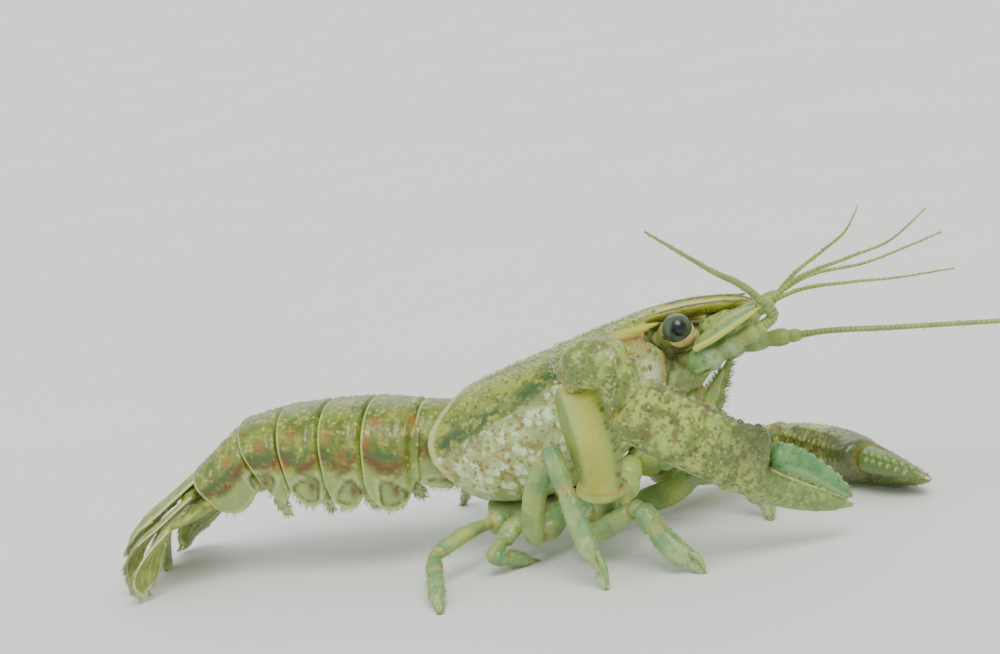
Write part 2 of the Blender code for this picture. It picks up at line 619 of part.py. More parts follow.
def build_claws():
    arms = {
        "right": dict(side=-1, hip=((17.4, -4.2, 7.6), (16.6, -6.8, 6.0), (15.9, -9.0, 5.4)),
                      merus=((16.1, -10.2, 7.4), (16.8, -13.4, 13.8), (17.0, -16.9, 20.3)),
                      carpus=((16.9, -18.6, 22.9), (19.8, -19.0, 22.7), (22.7, -18.9, 22.5)),
                      wrist=(22.0, -19.0, 18.9), tip=(40.2, -8.2, 3.4), up=(0.35, 0.12, 1.0)),
        "left": dict(side=1, hip=((17.4, 4.2, 7.6), (17.0, 5.6, 6.2), (16.7, 6.7, 5.4)),
                     merus=((17.5, 8.3, 5.1), (19.8, 10.9, 3.9), (22.7, 13.6, 2.7)),
                     carpus=((23.3, 14.3, 2.9), (26.0, 16.4, 3.4), (28.6, 17.7, 4.0)),
                     wrist=(30.2, 17.2, 4.4), tip=(46.4, 3.8, 1.9), up=(-0.5, -0.65, 0.57)),
    }
    for name, arm in arms.items():
        side = arm["side"]
        hip = limb(arm["hip"], ((0, 1.3), (0.45, 1.5), (0.52, 1.2), (1, 1.6)),
                   ((0, 1.2), (0.5, 1.1), (1, 1.4)),
                   flat=(1, 0, 0), rings=7, sides=10, blunt=(0.5, 0.4))
        node(f"cheliped_{name}_hip", hip, PALE_GREEN)
        line = spline(arm["merus"])
        merus = limb(arm["merus"], ((0, 2.2), (0.06, 2.65), (0.12, 2.4), (0.5, 2.7), (0.85, 2.45), (1, 2.0)),
                     ((0, 1.6), (0.06, 1.9), (0.12, 1.65), (0.6, 1.9), (1, 1.7)), flat=(1, 0, 0), rings=10,
                     sides=11,
                     blunt=(0.3, 0.35))
        front = Vector((1, -0.35 * side, 0)).normalized()
        spines = [cone(line(share) + front * 2.0, line(share + 0.04) + front * 3.4, 0.42)
                  for share in (0.35, 0.5, 0.65, 0.8)]
        node(f"cheliped_{name}_merus", merus, PALE_GREEN, spines)
        line = spline(arm["carpus"])
        ahead = (line(1.0) - line(0.6)).normalized()
        inner = Vector((0, -side, 0.3)).normalized()
        carpus = limb(arm["carpus"], ((0, 1.65), (0.3, 2.3), (0.7, 2.3), (1, 1.6)),
                      ((0, 1.65), (0.5, 2.35), (1, 1.85)),
                      flat=arm["up"], rings=6, sides=11, blunt=(0.7, 0.5))
        spines = [cone(line(share) + inner * 1.7, line(share) + inner * 3.1 + ahead * 0.8, 0.5)
                  for share in (0.35, 0.7)]
        node(f"cheliped_{name}_carpus", carpus, CLAW_GREEN, spines)
        build_hand(name, side, Vector(arm["wrist"]), Vector(arm["tip"]), Vector(arm["up"]))


def build_hand(name, side, wrist, tip, up):
    """Palm with its fixed finger below, and the moving finger above it, knobbed along their upper edges."""
    along = (tip - wrist).normalized()
    length = (tip - wrist).length
    up = (up - along * up.dot(along)).normalized()
    out = along.cross(up) * -side
    half = profile(((0, 2.2), (0.02, 2.6), (0.08, 3.1), (0.18, 3.3), (0.3, 3.3), (0.45, 3.25), (0.575, 3.1),
                    (0.59, 2.75), (0.605, 2.1), (0.62, 1.8), (0.65, 1.68), (0.8, 1.38), (0.93, 0.8),
                    (1, 0.25)))
    shift = profile(((0, -0.4), (0.1, -0.5), (0.3, -0.55), (0.5, -0.5), (0.575, -0.5), (0.59, -0.9),
                     (0.605, -1.6),
                     (0.62, -1.85), (0.65, -1.85), (0.8, -1.4), (0.93, -0.6), (1, 0.0)))
    thick = profile(((0, 1.6), (0.15, 2.2), (0.45, 2.5), (0.6, 1.9), (0.8, 1.1), (0.95, 0.5), (1, 0.25)))

    def on_palm(share, degrees, lift):
        """A point on the palm, degrees round from its upper edge to its outer face, lifted off the skin."""
        a = math.radians(degrees)
        normal = (up * (math.cos(a) / half(share)) + out * (math.sin(a) / thick(share))).normalized()
        skin = up * (shift(share) + half(share) * math.cos(a)) + out * (thick(share) * math.sin(a))
        return wrist + along * share * length + skin + normal * lift

    rows = []
    for share in (0, 0.02, 0.08, 0.16, 0.26, 0.38, 0.48, 0.57, 0.59, 0.608, 0.63, 0.72, 0.82, 0.92, 0.97,
                  1.0):
        middle = wrist + along * share * length + up * shift(share)
        opened = 0.6 if share == 0 else 1.0
        tall, deep = half(share) * opened, thick(share) * opened
        rows.append([middle + up * (tall * math.cos(a)) + out * (deep * math.sin(a))
                     for a in (2 * math.pi * i / 12 for i in range(12))])
    knobs = []
    for degrees, first, count in ((-34, 0.12, 6), (-4, 0.1, 7), (28, 0.13, 5)):
        for k in range(count):
            share = first + 0.07 * k
            knobs.append(cone(on_palm(share, degrees, -0.3), on_palm(share + 0.012, degrees, 0.32), 0.42, 4,
                              0.45))
    node(f"cheliped_{name}_palm", loft(rows), CLAW_GREEN, knobs)
    hinge = wrist + along * (0.61 * length + GAP) + up * 1.35
    middle = wrist + along * 0.8 * length + up * 1.45
    point = wrist + along * 0.985 * length + up * 0.72
    wide = ((0, 1.3), (0.5, 1.1), (0.85, 0.65), (1, 0.25))
    finger = limb([hinge, middle, point], wide, ((0, 1.5), (0.5, 1.1), (1, 0.25)), flat=up, rings=8, sides=10,
                  blunt=(0.5, 1.0))
    line, wide_at = spline([hinge, middle, point]), profile(wide)
    knobs = []
    for share in (0.18, 0.3, 0.42, 0.54, 0.66, 0.78):
        reach = wide_at(share)
        knobs.append(cone(line(share) + up * (reach - 0.3), line(share + 0.03) + up * (reach + 0.28), 0.36, 4,
                          0.4))
    node(f"cheliped_{name}_finger", finger, EMERALD, knobs)


# Walking legs

LEGS = {
    "leg_2_right": (-1, (12.9, 5.2), ((13.2, 8.0, 3.2), (20.2, 13.2, 6.5)),
                    ((22.4, 14.2, 3.5), (26.2, 15.3, -0.3))),
    "leg_3_right": (-1, (10.0, 5.2), ((7.9, 8.2, 3.0), (9.2, 11.0, 8.0), (12.5, 14.0, 13.6)),
                    ((14.2, 15.6, 7.8), (16.9, 18.0, -0.3))),
    "leg_4_right": (-1, (7.0, 5.2), ((5.6, 7.0, 4.4), (3.7, 10.6, 2.4)), ((5.2, 8.2, 1.1), (6.8, 5.8, -0.3))),
    "leg_5_right": (-1, (3.8, 5.2), ((1.4, 7.2, 4.4), (-1.9, 12.4, 3.4)),
                    ((-0.6, 17.0, 1.9), (0.8, 21.2, -0.3))),
    "leg_2_left": (1, (12.9, 5.2), ((14.4, 4.9, 2.6), (18.6, 5.6, 2.6), (24.0, 5.8, 6.4)),
                   ((27.6, 3.8, 4.2), (30.2, 1.0, -0.3))),
    "leg_3_left": (1, (10.0, 5.2), ((10.4, 8.0, 5.0), (13.4, 14.6, 10.0)),
                   ((14.8, 17.6, 5.2), (16.4, 20.0, -0.3))),
    "leg_4_left": (1, (7.0, 5.2), ((6.2, 8.0, 4.6), (4.4, 15.0, 8.6)), ((3.4, 18.2, 4.4), (2.6, 20.4, -0.3))),
    "leg_5_left": (1, (3.8, 5.2), ((2.0, 7.6, 4.6), (-3.0, 13.4, 7.0)),
                   ((-6.0, 16.6, 3.6), (-8.6, 19.0, -0.3))),
}


def knee_ends(before_knee, knee, after_knee):
    """Where the two lengths of a leg end at the knee, so that they clear one another at any bend."""
    before = (knee - before_knee).normalized()
    after = (after_knee - knee).normalized()
    bend = (-before).angle(after)
    if bend > math.radians(120):
        return knee - before * 0.15, knee + after * 0.75
    back_off = (0.95 + 0.6 * max(math.cos(bend), 0)) / max(math.sin(bend), 0.5)
    return knee - before * back_off, knee + (before - after).normalized() * 0.3


def build_legs():
    for name, (side, root, upper, lower) in LEGS.items():
        number = int(name[4])
        stout = (1.12, 0.96, 0.94, 0.88)[number - 2]
        x, y = root
        coxa = (x, 3.75, low_margin(x) - GAP - 1.25)
        top_end, low_start = knee_ends(Vector(upper[-2]), Vector(upper[-1]), Vector(lower[0]))
        forward = (top_end - Vector(coxa)).normalized()
        flat = (0, 0.3, 1) if forward.x > 0.9 else (1, 0, 0.3)
        thigh = limb(mirrored([coxa, *upper[:-1], top_end], side),
                     ((0, 1.15), (0.2, 1.15), (0.3, 0.95 * stout), (0.42, 1.2 * stout), (0.8, 1.15 * stout),
                      (1, 0.95 * stout)),
                     ((0, 1.05), (0.3, 0.85 * stout), (0.8, 0.95 * stout), (1, 0.85 * stout)), flat=flat,
                     rings=7,
                     sides=7, blunt=(0.5, 0.6))
        node(f"{name}_upper", thigh, PALE_GREEN)
        way = mirrored([low_start, *lower], side)
        pieces = []
        if number < 4:
            wide = ((0, 0.9), (0.22, 1.05), (0.3, 0.85), (0.42, 1.05), (0.7, 0.95), (0.78, 0.5), (1, 0.22))
            line = spline(way)
            ahead = (line(1.0) - line(0.7)).normalized()
            beside = (Vector((1, 0, 0.3)) - ahead * ahead.dot(Vector((1, 0, 0.3)))).normalized()
            shift = [line(0.68) + beside * 0.5 * stout, line(0.84) + beside * 0.78 * stout,
                     line(0.95) + beside * 0.55]
            pieces.append(limb(shift, ((0, 0.45 * stout), (1, 0.22)), ((0, 0.5 * stout), (1, 0.22)), rings=4,
                               sides=6,
                               blunt=(0.5, 1.0)))
        else:
            wide = ((0, 0.85), (0.25, 1.0), (0.33, 0.8), (0.42, 0.95), (0.7, 0.85), (0.78, 0.55), (1, 0.25))
        wide = tuple((share, width * stout if share < 1 else width) for share, width in wide)
        shin = limb(way, wide, ((0, 0.8 * stout), (0.25, 0.9 * stout), (0.33, 0.75 * stout),
                                (0.7, 0.75 * stout),
                                (1, 0.26)), flat=(1, 0, 0.3), rings=8, sides=7, blunt=(0.6, 0.6))
        node(f"{name}_lower", shin, PALE_GREEN, pieces, floor=True, solver="MANIFOLD")


clear_scene()
crayfish = collection("seminole_crayfish")
cutters = collection("cutters")
origin = bpy.data.objects.new("crayfish_origin", None)
crayfish.objects.link(origin)

build_thorax()
build_head()
build_sternum()
build_abdomen()
build_tail()
build_eyes()
build_feelers()
build_mouth()
build_maxillipeds()
build_claws()
build_legs()

bpy.context.view_layer.update()
corners = [part.matrix_world @ Vector(corner) for part in crayfish.objects if part.type in {"MESH", "CURVE"}
           for corner in part.bound_box]
low_corner = Vector([min(c[i] for c in corners) for i in range(3)])
high_corner = Vector([max(c[i] for c in corners) for i in range(3)])
middle = (low_corner + high_corner) / 2
origin.location = (-middle.x, -middle.y, -low_corner.z)
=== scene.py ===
"""Looks of the seminole crayfish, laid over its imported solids.

Lengths are in millimetres, in the layout of the solids: x forward, y to the animal's left, z up from the
floor, and x = 0 at the back edge of the carapace. place() turns them into the frame's metres. A limb's
stations are pairs of a share of its length and its half width there.
"""
import math

import bpy
import numpy as np
from mathutils import Matrix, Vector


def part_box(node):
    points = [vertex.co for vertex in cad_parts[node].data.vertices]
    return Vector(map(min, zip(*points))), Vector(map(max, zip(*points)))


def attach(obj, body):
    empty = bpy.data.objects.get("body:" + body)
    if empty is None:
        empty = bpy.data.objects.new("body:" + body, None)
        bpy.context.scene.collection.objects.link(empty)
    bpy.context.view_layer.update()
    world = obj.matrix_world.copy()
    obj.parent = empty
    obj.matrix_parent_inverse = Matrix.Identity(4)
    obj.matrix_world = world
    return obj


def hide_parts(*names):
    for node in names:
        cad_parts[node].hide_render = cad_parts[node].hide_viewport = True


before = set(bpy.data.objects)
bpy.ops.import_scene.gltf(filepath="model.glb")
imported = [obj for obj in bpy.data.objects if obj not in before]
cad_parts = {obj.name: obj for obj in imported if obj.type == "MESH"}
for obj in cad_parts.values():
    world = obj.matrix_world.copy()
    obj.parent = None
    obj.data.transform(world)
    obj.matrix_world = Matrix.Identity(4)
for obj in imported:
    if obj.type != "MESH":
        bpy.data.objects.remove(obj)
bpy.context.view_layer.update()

MM = 0.001
SEED = 7
SHELL_REAR = 2.9
shell_low, shell_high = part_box("thorax")
SHIFT = np.array([shell_low[0] + SHELL_REAR * MM, (shell_low[1] + shell_high[1]) / 2, 0.0])
chance = np.random.default_rng(SEED)

# Layout, as in the solids
SIDES = ((-1, "right"), (1, "left"))
GROOVE_TOP = 10.9
ORBIT = 22.4
ROSTRUM_ROOT = 18.5
ROSTRUM_TIP = 32.9
EYE_RADIUS = 1.5
EYES = {"right": (-1, (25.0, -5.0, 22.25)), "left": (1, (24.8, 4.7, 21.6))}
# Joints of the abdomen: x and z of the back line, half width in front and behind, depth of the body and
# of the lobes
SEGMENTS = (
    (1.6, 16.0, 4.2, 4.6, 6.4, 8.2),
    (-4.0, 16.8, 5.7, 6.0, 6.6, 10.6),
    (-9.4, 17.7, 6.1, 6.1, 6.4, 10.4),
    (-14.4, 17.9, 5.9, 5.8, 6.2, 9.8),
    (-19.4, 17.8, 5.6, 5.4, 6.0, 8.9),
    (-24.4, 16.9, 5.0, 4.3, 5.2, 6.9),
    (-30.7, 12.3, 4.0, 4.0, 3.4, 3.8),
)
LAST_SEGMENT = 5


# Curves

def unit(vectors):
    vectors = np.asarray(vectors, float)
    return vectors / np.maximum(np.linalg.norm(vectors, axis=-1, keepdims=True), 1e-9)


def profile(stations):
    """A smooth curve through (place, value) stations, held level beyond its ends."""
    places, values = np.array(stations, float).T
    slopes = np.gradient(values, places)

    def value(place):
        place = np.clip(place, places[0], places[-1])
        i = np.clip(np.searchsorted(places, place, side="right") - 1, 0, len(places) - 2)
        span = places[i + 1] - places[i]
        t = (place - places[i]) / span
        from_start = values[i] * (1 + 2 * t) * (1 - t) ** 2 + slopes[i] * span * t * (1 - t) ** 2
        return from_start + values[i + 1] * t * t * (3 - 2 * t) + slopes[i + 1] * span * t * t * (t - 1)

    return value


def spline(points):
    """A smooth space curve through the points, by share of its length."""
    points = np.array(points, float)
    marks = np.concatenate([[0], np.cumsum(np.linalg.norm(np.diff(points, axis=0), axis=1))])
    marks /= marks[-1]
    axes = [profile(np.column_stack([marks, points[:, i]])) for i in range(3)]
    return lambda t: np.stack([axis(t) for axis in axes], axis=-1)


def span_of(curve, steps):
    """The length of a space curve."""
    return np.linalg.norm(np.diff(curve(np.linspace(0, 1, steps)), axis=0), axis=1).sum()


def bump(value, middle, width):
    """A soft rise to 1 at the middle."""
    return np.exp(-((value - middle) / width) ** 2)


def smooth_step(value, low, high):
    """From 0 at low to 1 at high, and the other way round where low is the greater."""
    t = np.clip((value - low) / (high - low), 0, 1)
    return t * t * (3 - 2 * t)


def bands(*places, width=0.025, most=1.0):
    """A function of the share of a length that rises to most at each of the places."""
    return lambda share: most * np.minimum(sum(bump(share, place, width) for place in places), 1)


def ramp(low, high, most=1.0):
    """A function of the share of a length that runs from 0 at low to most at high."""
    return lambda share: most * smooth_step(share, low, high)


def mirrored(points, side):
    """Points given for the left side, or swapped to the right when side is -1."""
    return [(x, y * side, z) for x, y, z in points]


# Meshes

def place(points):
    return np.asarray(points, float) * MM + SHIFT


def above_floor(points):
    """The points, with any that dip below the floor laid on it."""
    points = np.array(points, float)
    points[..., 2] = np.maximum(points[..., 2], 0.0)
    return points


def added(name, data):
    """A new object of the scene."""
    made = bpy.data.objects.new(name, data)
    bpy.context.scene.collection.objects.link(made)
    return made


def new_mesh(name, points, faces):
    """A mesh of points given in millimetres."""
    mesh = bpy.data.meshes.new(name)
    mesh.from_pydata(place(above_floor(points)).tolist(), [], faces)
    return mesh


def settle(mesh, slot, material, *nodes):
    """A finished mesh as a piece of the body, in place of the solids named."""
    mesh.shade_smooth()
    mesh.materials.append(material)
    made = added(mesh.name, mesh)
    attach(made, "root")
    if nodes:
        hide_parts(*nodes)


LIMB_SHAPE = ("flat", "steps", "sides", "blunt", "relief")


class Skin:
    """Gathers closed surfaces and the values painted on their points, and makes one piece of them."""

    def __init__(self):
        self.points = []
        self.faces = []
        self.fields = []
        self.count = 0

    def add(self, points, faces, **fields):
        points = np.asarray(points, float).reshape(-1, 3)
        self.points.append(points)
        self.faces += [[self.count + i for i in face] for face in faces]
        self.fields.append({key: np.broadcast_to(np.asarray(value, float).ravel(), len(points))
                            for key, value in fields.items()})
        self.count += len(points)

    def tube(self, rows, **fields):
        """A closed tube over rows of points, its end rows filled. A painted value is one number, one for
        each row, or one for each point."""
        count, sides = rows.shape[:2]
        index = np.arange(count * sides).reshape(count, sides)
        low, high = index[:-1], index[1:]
        quads = np.stack([low, np.roll(low, -1, 1), np.roll(high, -1, 1), high], -1).reshape(-1, 4).tolist()
        quads += [index[0, ::-1].tolist(), index[-1].tolist()]
        spread = {key: np.broadcast_to(np.reshape(value, (-1, 1)) if np.ndim(value) == 1 else value,
                                       (count, sides))
                  for key, value in fields.items()}
        self.add(rows, quads, **spread)

    def plate(self, surface, half_thick, along, across, **fields):
        """A closed curved plate round a middle surface(u, v), v from -1 to 1, with a rounded edge."""
        u = np.linspace(0, 1, along + 1)[:, None] + np.zeros(across + 1)
        v = np.sin(np.linspace(-np.pi / 2, np.pi / 2, across + 1))[None, :] + np.zeros((along + 1, 1))
        middle = surface(u, v)
        du = surface(np.minimum(u + 0.01, 1), v) - surface(np.maximum(u - 0.01, 0), v)
        dv = surface(u, np.minimum(v + 0.02, 1)) - surface(u, np.maximum(v - 0.02, -1))
        normal = unit(np.cross(du, dv))
        thick = (half_thick(u, v) * np.sqrt(np.clip(1.04 - v ** 2, 0, 1)))[..., None]
        rows = np.concatenate([middle + normal * thick, (middle - normal * thick)[:, ::-1]], axis=1)
        painted = {key: value(u, v) for key, value in fields.items()}
        self.tube(rows, **{key: np.concatenate([value, value[:, ::-1]], axis=1)
                           for key, value in painted.items()})

    def spine(self, base, tip, radius, **fields):
        """A spine that tapers from base to tip."""
        base, tip = np.array(base, float), np.array(tip, float)
        self.limb([base, (base + tip) / 2, tip], ((0, radius), (0.5, radius * 0.62), (1, radius * 0.14)),
                  steps=8, sides=10, blunt=(0.2, 1.0), **fields)

    def limb(self, path, wide, thick=None, **more):
        """A limb's tube. What isn't its shape is painted: a number, or a function of the share of length."""
        shape = {key: more.pop(key) for key in LIMB_SHAPE if key in more}
        rows, marks = limb(path, wide, thick, **shape)
        self.tube(rows, **{key: value(marks) if callable(value) else value for key, value in more.items()})
        return rows

    def make(self, name, slot, material, *nodes):
        """The piece itself, in place of the solids named."""
        mesh = new_mesh(name, np.concatenate(self.points), self.faces)
        for key in sorted({key for fields in self.fields for key in fields}):
            values = np.concatenate([fields.get(key, np.zeros(len(points)))
                                     for fields, points in zip(self.fields, self.points)])
            mesh.attributes.new(key, "FLOAT", "POINT").data.foreach_set("value", values.astype(np.float32))
        settle(mesh, slot, material, *nodes)


def limb(path, wide, thick=None, flat=(0, 0, 1), steps=48, sides=26, blunt=(1.0, 1.0), relief=None):
    """Rows of points of an oval tube with round ends, wide along flat and thick across it, and the share of
    the length at each row. relief(share, turn) lifts the skin, turn running from 0 to 2 pi from the flat
    direction."""
    curve = spline(path)
    length = span_of(curve, 81)
    wide_at = profile(wide)
    thick_at = profile(thick) if thick is not None else wide_at
    caps = [max(blunt[i] * wide_at(float(i)) / length, 1e-4) for i in range(2)]
    swell = 1 - np.cos(np.linspace(0.12, np.pi / 2, 8))[:-1]
    marks = np.concatenate([[0], caps[0] * (1 - np.cos(np.linspace(0.1, np.pi / 2, 7)[:-1])),
                            np.linspace(caps[0], 1 - caps[1], steps), 1 - caps[1] * swell[::-1], [1]])
    here = curve(marks)
    ahead = unit(curve(np.minimum(marks + 0.01, 1)) - curve(np.maximum(marks - 0.01, 0)))
    across = unit(np.array(flat, float) - ahead * (ahead @ np.array(flat, float))[:, None])
    other = np.cross(ahead, across)
    opened = [np.sqrt(1 - (1 - np.clip(gap / cap, 0, 1)) ** 2) for gap, cap in zip((marks, 1 - marks), caps)]
    share = np.maximum(np.minimum(*opened), 0.12)
    turn = 2 * np.pi * np.arange(sides) / sides
    cos, sin = np.cos(turn), np.sin(turn)
    a, b = (wide_at(marks) * share)[:, None], (thick_at(marks) * share)[:, None]
    skin = across[:, None] * (a * cos)[..., None] + other[:, None] * (b * sin)[..., None]
    if relief is not None:
        normal = unit(across[:, None] * (cos / a)[..., None] + other[:, None] * (sin / b)[..., None])
        skin = skin + normal * (relief(marks[:, None], turn[None, :]) * share[:, None])[..., None]
    return here[:, None] + skin, marks


def grown(ways, low, high):
    """The ways, each given a length drawn between low and high."""
    return unit(ways) * chance.uniform(low, high, (len(ways), 1))


HAIR_FACES = ((2, 1, 0), (0, 1, 4, 3), (1, 2, 5, 4), (2, 0, 3, 5), (3, 4, 6), (4, 5, 6), (5, 3, 6))
HAIR_MAP = ((0, 0), (1, 0), (0.5, 1), (0, 0.5), (1, 0.5), (0.5, 0.8), (0.5, 0.5))
HAIR_MAP_SIZE = 0.003


class Coat:
    """Gathers hairs from several skins, each skin with its own tile of the map."""

    def __init__(self):
        self.roots, self.ways, self.places = [], [], []

    def add(self, roots, ways, along, across):
        """Hairs from their roots along their ways, with their places on the tile, both from 0 to 1."""
        roots = np.asarray(roots, float)
        self.roots.append(roots)
        self.ways.append(np.broadcast_to(ways, roots.shape))
        self.places.append(np.column_stack([np.broadcast_to(value, len(roots)) for value in (along, across)]))

    def scatter(self, rows, count, spread, long, lean=0.6, turns=(0.0, 1.0), ruffle=0.25):
        """Hairs over a tube's rows between two shares and turns, leaning towards its far end."""
        share = chance.uniform(*spread, count)
        turn = chance.uniform(*turns, count)
        i = np.clip((share * (len(rows) - 1)).astype(int), 1, len(rows) - 2)
        j = (turn * rows.shape[1]).astype(int) % rows.shape[1]
        middle = rows.mean(axis=1)
        ahead = unit(middle[i + 1] - middle[i - 1])
        out = unit(rows[i, j] - middle[i])
        ways = unit(out + ahead * lean + ruffle * chance.normal(size=(count, 3)))
        self.add(rows[i, j], grown(ways, 0.6, 1.2) * long, share, turn % 1.0)

    def make(self, name, slot, width, material=None):
        """Each hair as a thin three-sided spike, with a small patch of the map."""
        roots, ways = np.concatenate(self.roots), np.concatenate(self.ways)
        ahead = unit(ways)
        beside = unit(np.cross(ahead, unit(ahead[:, ::-1] + np.array([0.3, -0.7, 0.5]))))
        third = np.cross(ahead, beside)
        corners = []
        for share, thick in ((-0.06, 1.0), (0.5, 0.72)):
            for turn in (0, 2 * math.pi / 3, 4 * math.pi / 3):
                out = beside * math.cos(turn) + third * math.sin(turn)
                corners.append(roots + ways * share + out * width * thick)
        corners.append(roots + ways)
        faces = [[7 * i + k for k in face] for i in range(len(roots)) for face in HAIR_FACES]
        mesh = new_mesh(name, np.stack(corners, axis=1).reshape(-1, 3), faces)
        tiles = len(self.places)
        spots = np.concatenate([np.column_stack([(index + 0.02 + place[:, 0] * 0.94) / tiles,
                                                 place[:, 1] * 0.99])
                                for index, place in enumerate(self.places)])
        flat = (spots[:, None] + HAIR_MAP_SIZE * np.array(HAIR_MAP)).reshape(-1, 2)
        corner = np.zeros(len(mesh.loops), int)
        mesh.loops.foreach_get("vertex_index", corner)
        mesh.uv_layers.new(name="OFBake").data.foreach_set("uv", flat[corner].ravel())
        settle(mesh, slot, material or setae_fringe)


# Paint

RICHER = 1.15
DARKER = 0.86
GREENER = 1.19
LESS_BLUE = 0.93


def tone(red, green, blue):
    """A colour as seen on a screen, 0 to 255, as linear values, made up for the paling of the light."""
    linear = [((c / 255 + 0.055) / 1.055) ** 2.4 for c in (red, green, blue)]
    grey = sum(linear) / 3
    red, green, blue = (max((grey + (c - grey) * RICHER) * DARKER, 0.001) for c in linear)
    return red, green * GREENER, blue * LESS_BLUE


class Paint:
    """A Principled material built up in layers of noise, spots and the values painted on the meshes."""

    def __init__(self, name, rough, **uniform):
        self.material = bpy.data.materials.new(name)
        self.material.use_nodes = True
        self.tree = self.material.node_tree
        self.shader = self.tree.nodes["Principled BSDF"]
        self.place = self.add("TexCoord").outputs["Object"]
        self.shader.inputs["Roughness"].default_value = rough
        for key, value in uniform.items():
            self.shader.inputs[key.replace("_", " ")].default_value = value

    def add(self, kind, **inputs):
        made = self.tree.nodes.new("ShaderNode" + kind)
        for key, value in inputs.items():
            self.feed(made.inputs[key.replace("_", " ")], value)
        return made

    def feed(self, socket, value):
        if isinstance(value, bpy.types.NodeSocket):
            self.tree.links.new(value, socket)
        elif isinstance(value, tuple) and socket.type == "RGBA":
            socket.default_value = (*value, 1)
        else:
            socket.default_value = value

    def field(self, name):
        made = self.add("Attribute")
        made.attribute_name = name
        return made.outputs["Fac"]

    def sums(self, operation, *values):
        made = self.add("Math")
        made.operation = operation
        for socket, value in zip(made.inputs, values):
            self.feed(socket, value)
        return made.outputs[0]

    def times(self, *shares):
        """The product of shares, each a socket, a number or the name of a painted value."""
        product, *others = (self.field(share) if isinstance(share, str) else share for share in shares)
        for other in others:
            product = self.sums("MULTIPLY", product, other)
        return product

    def noise(self, per_mm, detail=3.0, rough=0.55, warp=0.0):
        made = self.add("TexNoise", Vector=self.place, Scale=per_mm / MM, Detail=detail, Roughness=rough,
                        Distortion=warp)
        return made.outputs["Fac"]

    def cells(self, per_mm, warp=0.35):
        """How near the closest of many scattered points is, and a number drawn for each."""
        shake = self.add("TexNoise", Vector=self.place, Scale=per_mm * 1.7 / MM, Detail=2.0)
        shift = self.add("VectorMath")
        shift.operation = "MULTIPLY_ADD"
        reach = (warp / per_mm * MM,) * 3
        for socket, value in zip(shift.inputs, (shake.outputs["Color"], reach, self.place)):
            self.feed(socket, value)
        made = self.add("TexVoronoi", Vector=shift.outputs[0], Scale=per_mm / MM)
        drawn = self.add("SeparateColor", Color=made.outputs["Color"])
        return made.outputs["Distance"], drawn.outputs["Red"]

    def between(self, value, low, high):
        made = self.add("MapRange", Value=value)
        made.interpolation_type = "SMOOTHSTEP"
        self.feed(made.inputs["From Min"], low)
        self.feed(made.inputs["From Max"], high)
        return made.outputs["Result"]

    def patch(self, low, high, *noise):
        """Patches where a noise runs from low to high."""
        return self.between(self.noise(*noise), low, high)

    def spots(self, per_mm, size, drawn_over=0.0, warp=0.5):
        """Soft irregular spots round scattered points, only where the number drawn passes drawn_over."""
        near, drawn = self.cells(per_mm, warp)
        return self.times(self.between(near, size, size * 0.45),
                          self.between(drawn, drawn_over, drawn_over + 0.05))

    def mix(self, share, under, over):
        """One colour over another. A colour is a socket, or three numbers as seen on a screen."""
        made = self.add("Mix")
        made.data_type = "RGBA"
        for index, value in ((0, share), (6, under), (7, over)):
            self.feed(made.inputs[index], tone(*value) if isinstance(value, tuple) else value)
        return made.outputs[2]

    def layers(self, under, *rows):
        """Colours laid over one another: each row is a colour and the shares whose product lays it on."""
        for colour, *shares in rows:
            under = self.mix(self.times(*shares), under, colour)
        return under

    def finish(self, colour, height=None, depth=0.05, rough=None):
        """Connects the colour, and a bump whose full height is depth millimetres."""
        self.feed(self.shader.inputs["Base Color"], colour)
        if height is not None:
            made = self.add("Bump", Height=height, Strength=1.0, Distance=depth * MM)
            self.feed(self.shader.inputs["Normal"], made.outputs["Normal"])
        if rough is not None:
            self.feed(self.shader.inputs["Roughness"], rough)
        return self.material

    def grains(self, cells, cell_share, fine):
        """A height of small cells with finer noise over them."""
        return self.sums("ADD", self.times(cells, cell_share), self.times(fine, 0.5))


HORN = dict(Subsurface_Radius=(0.8, 0.8, 0.45), Subsurface_Scale=0.0006, Coat_Roughness=0.3)


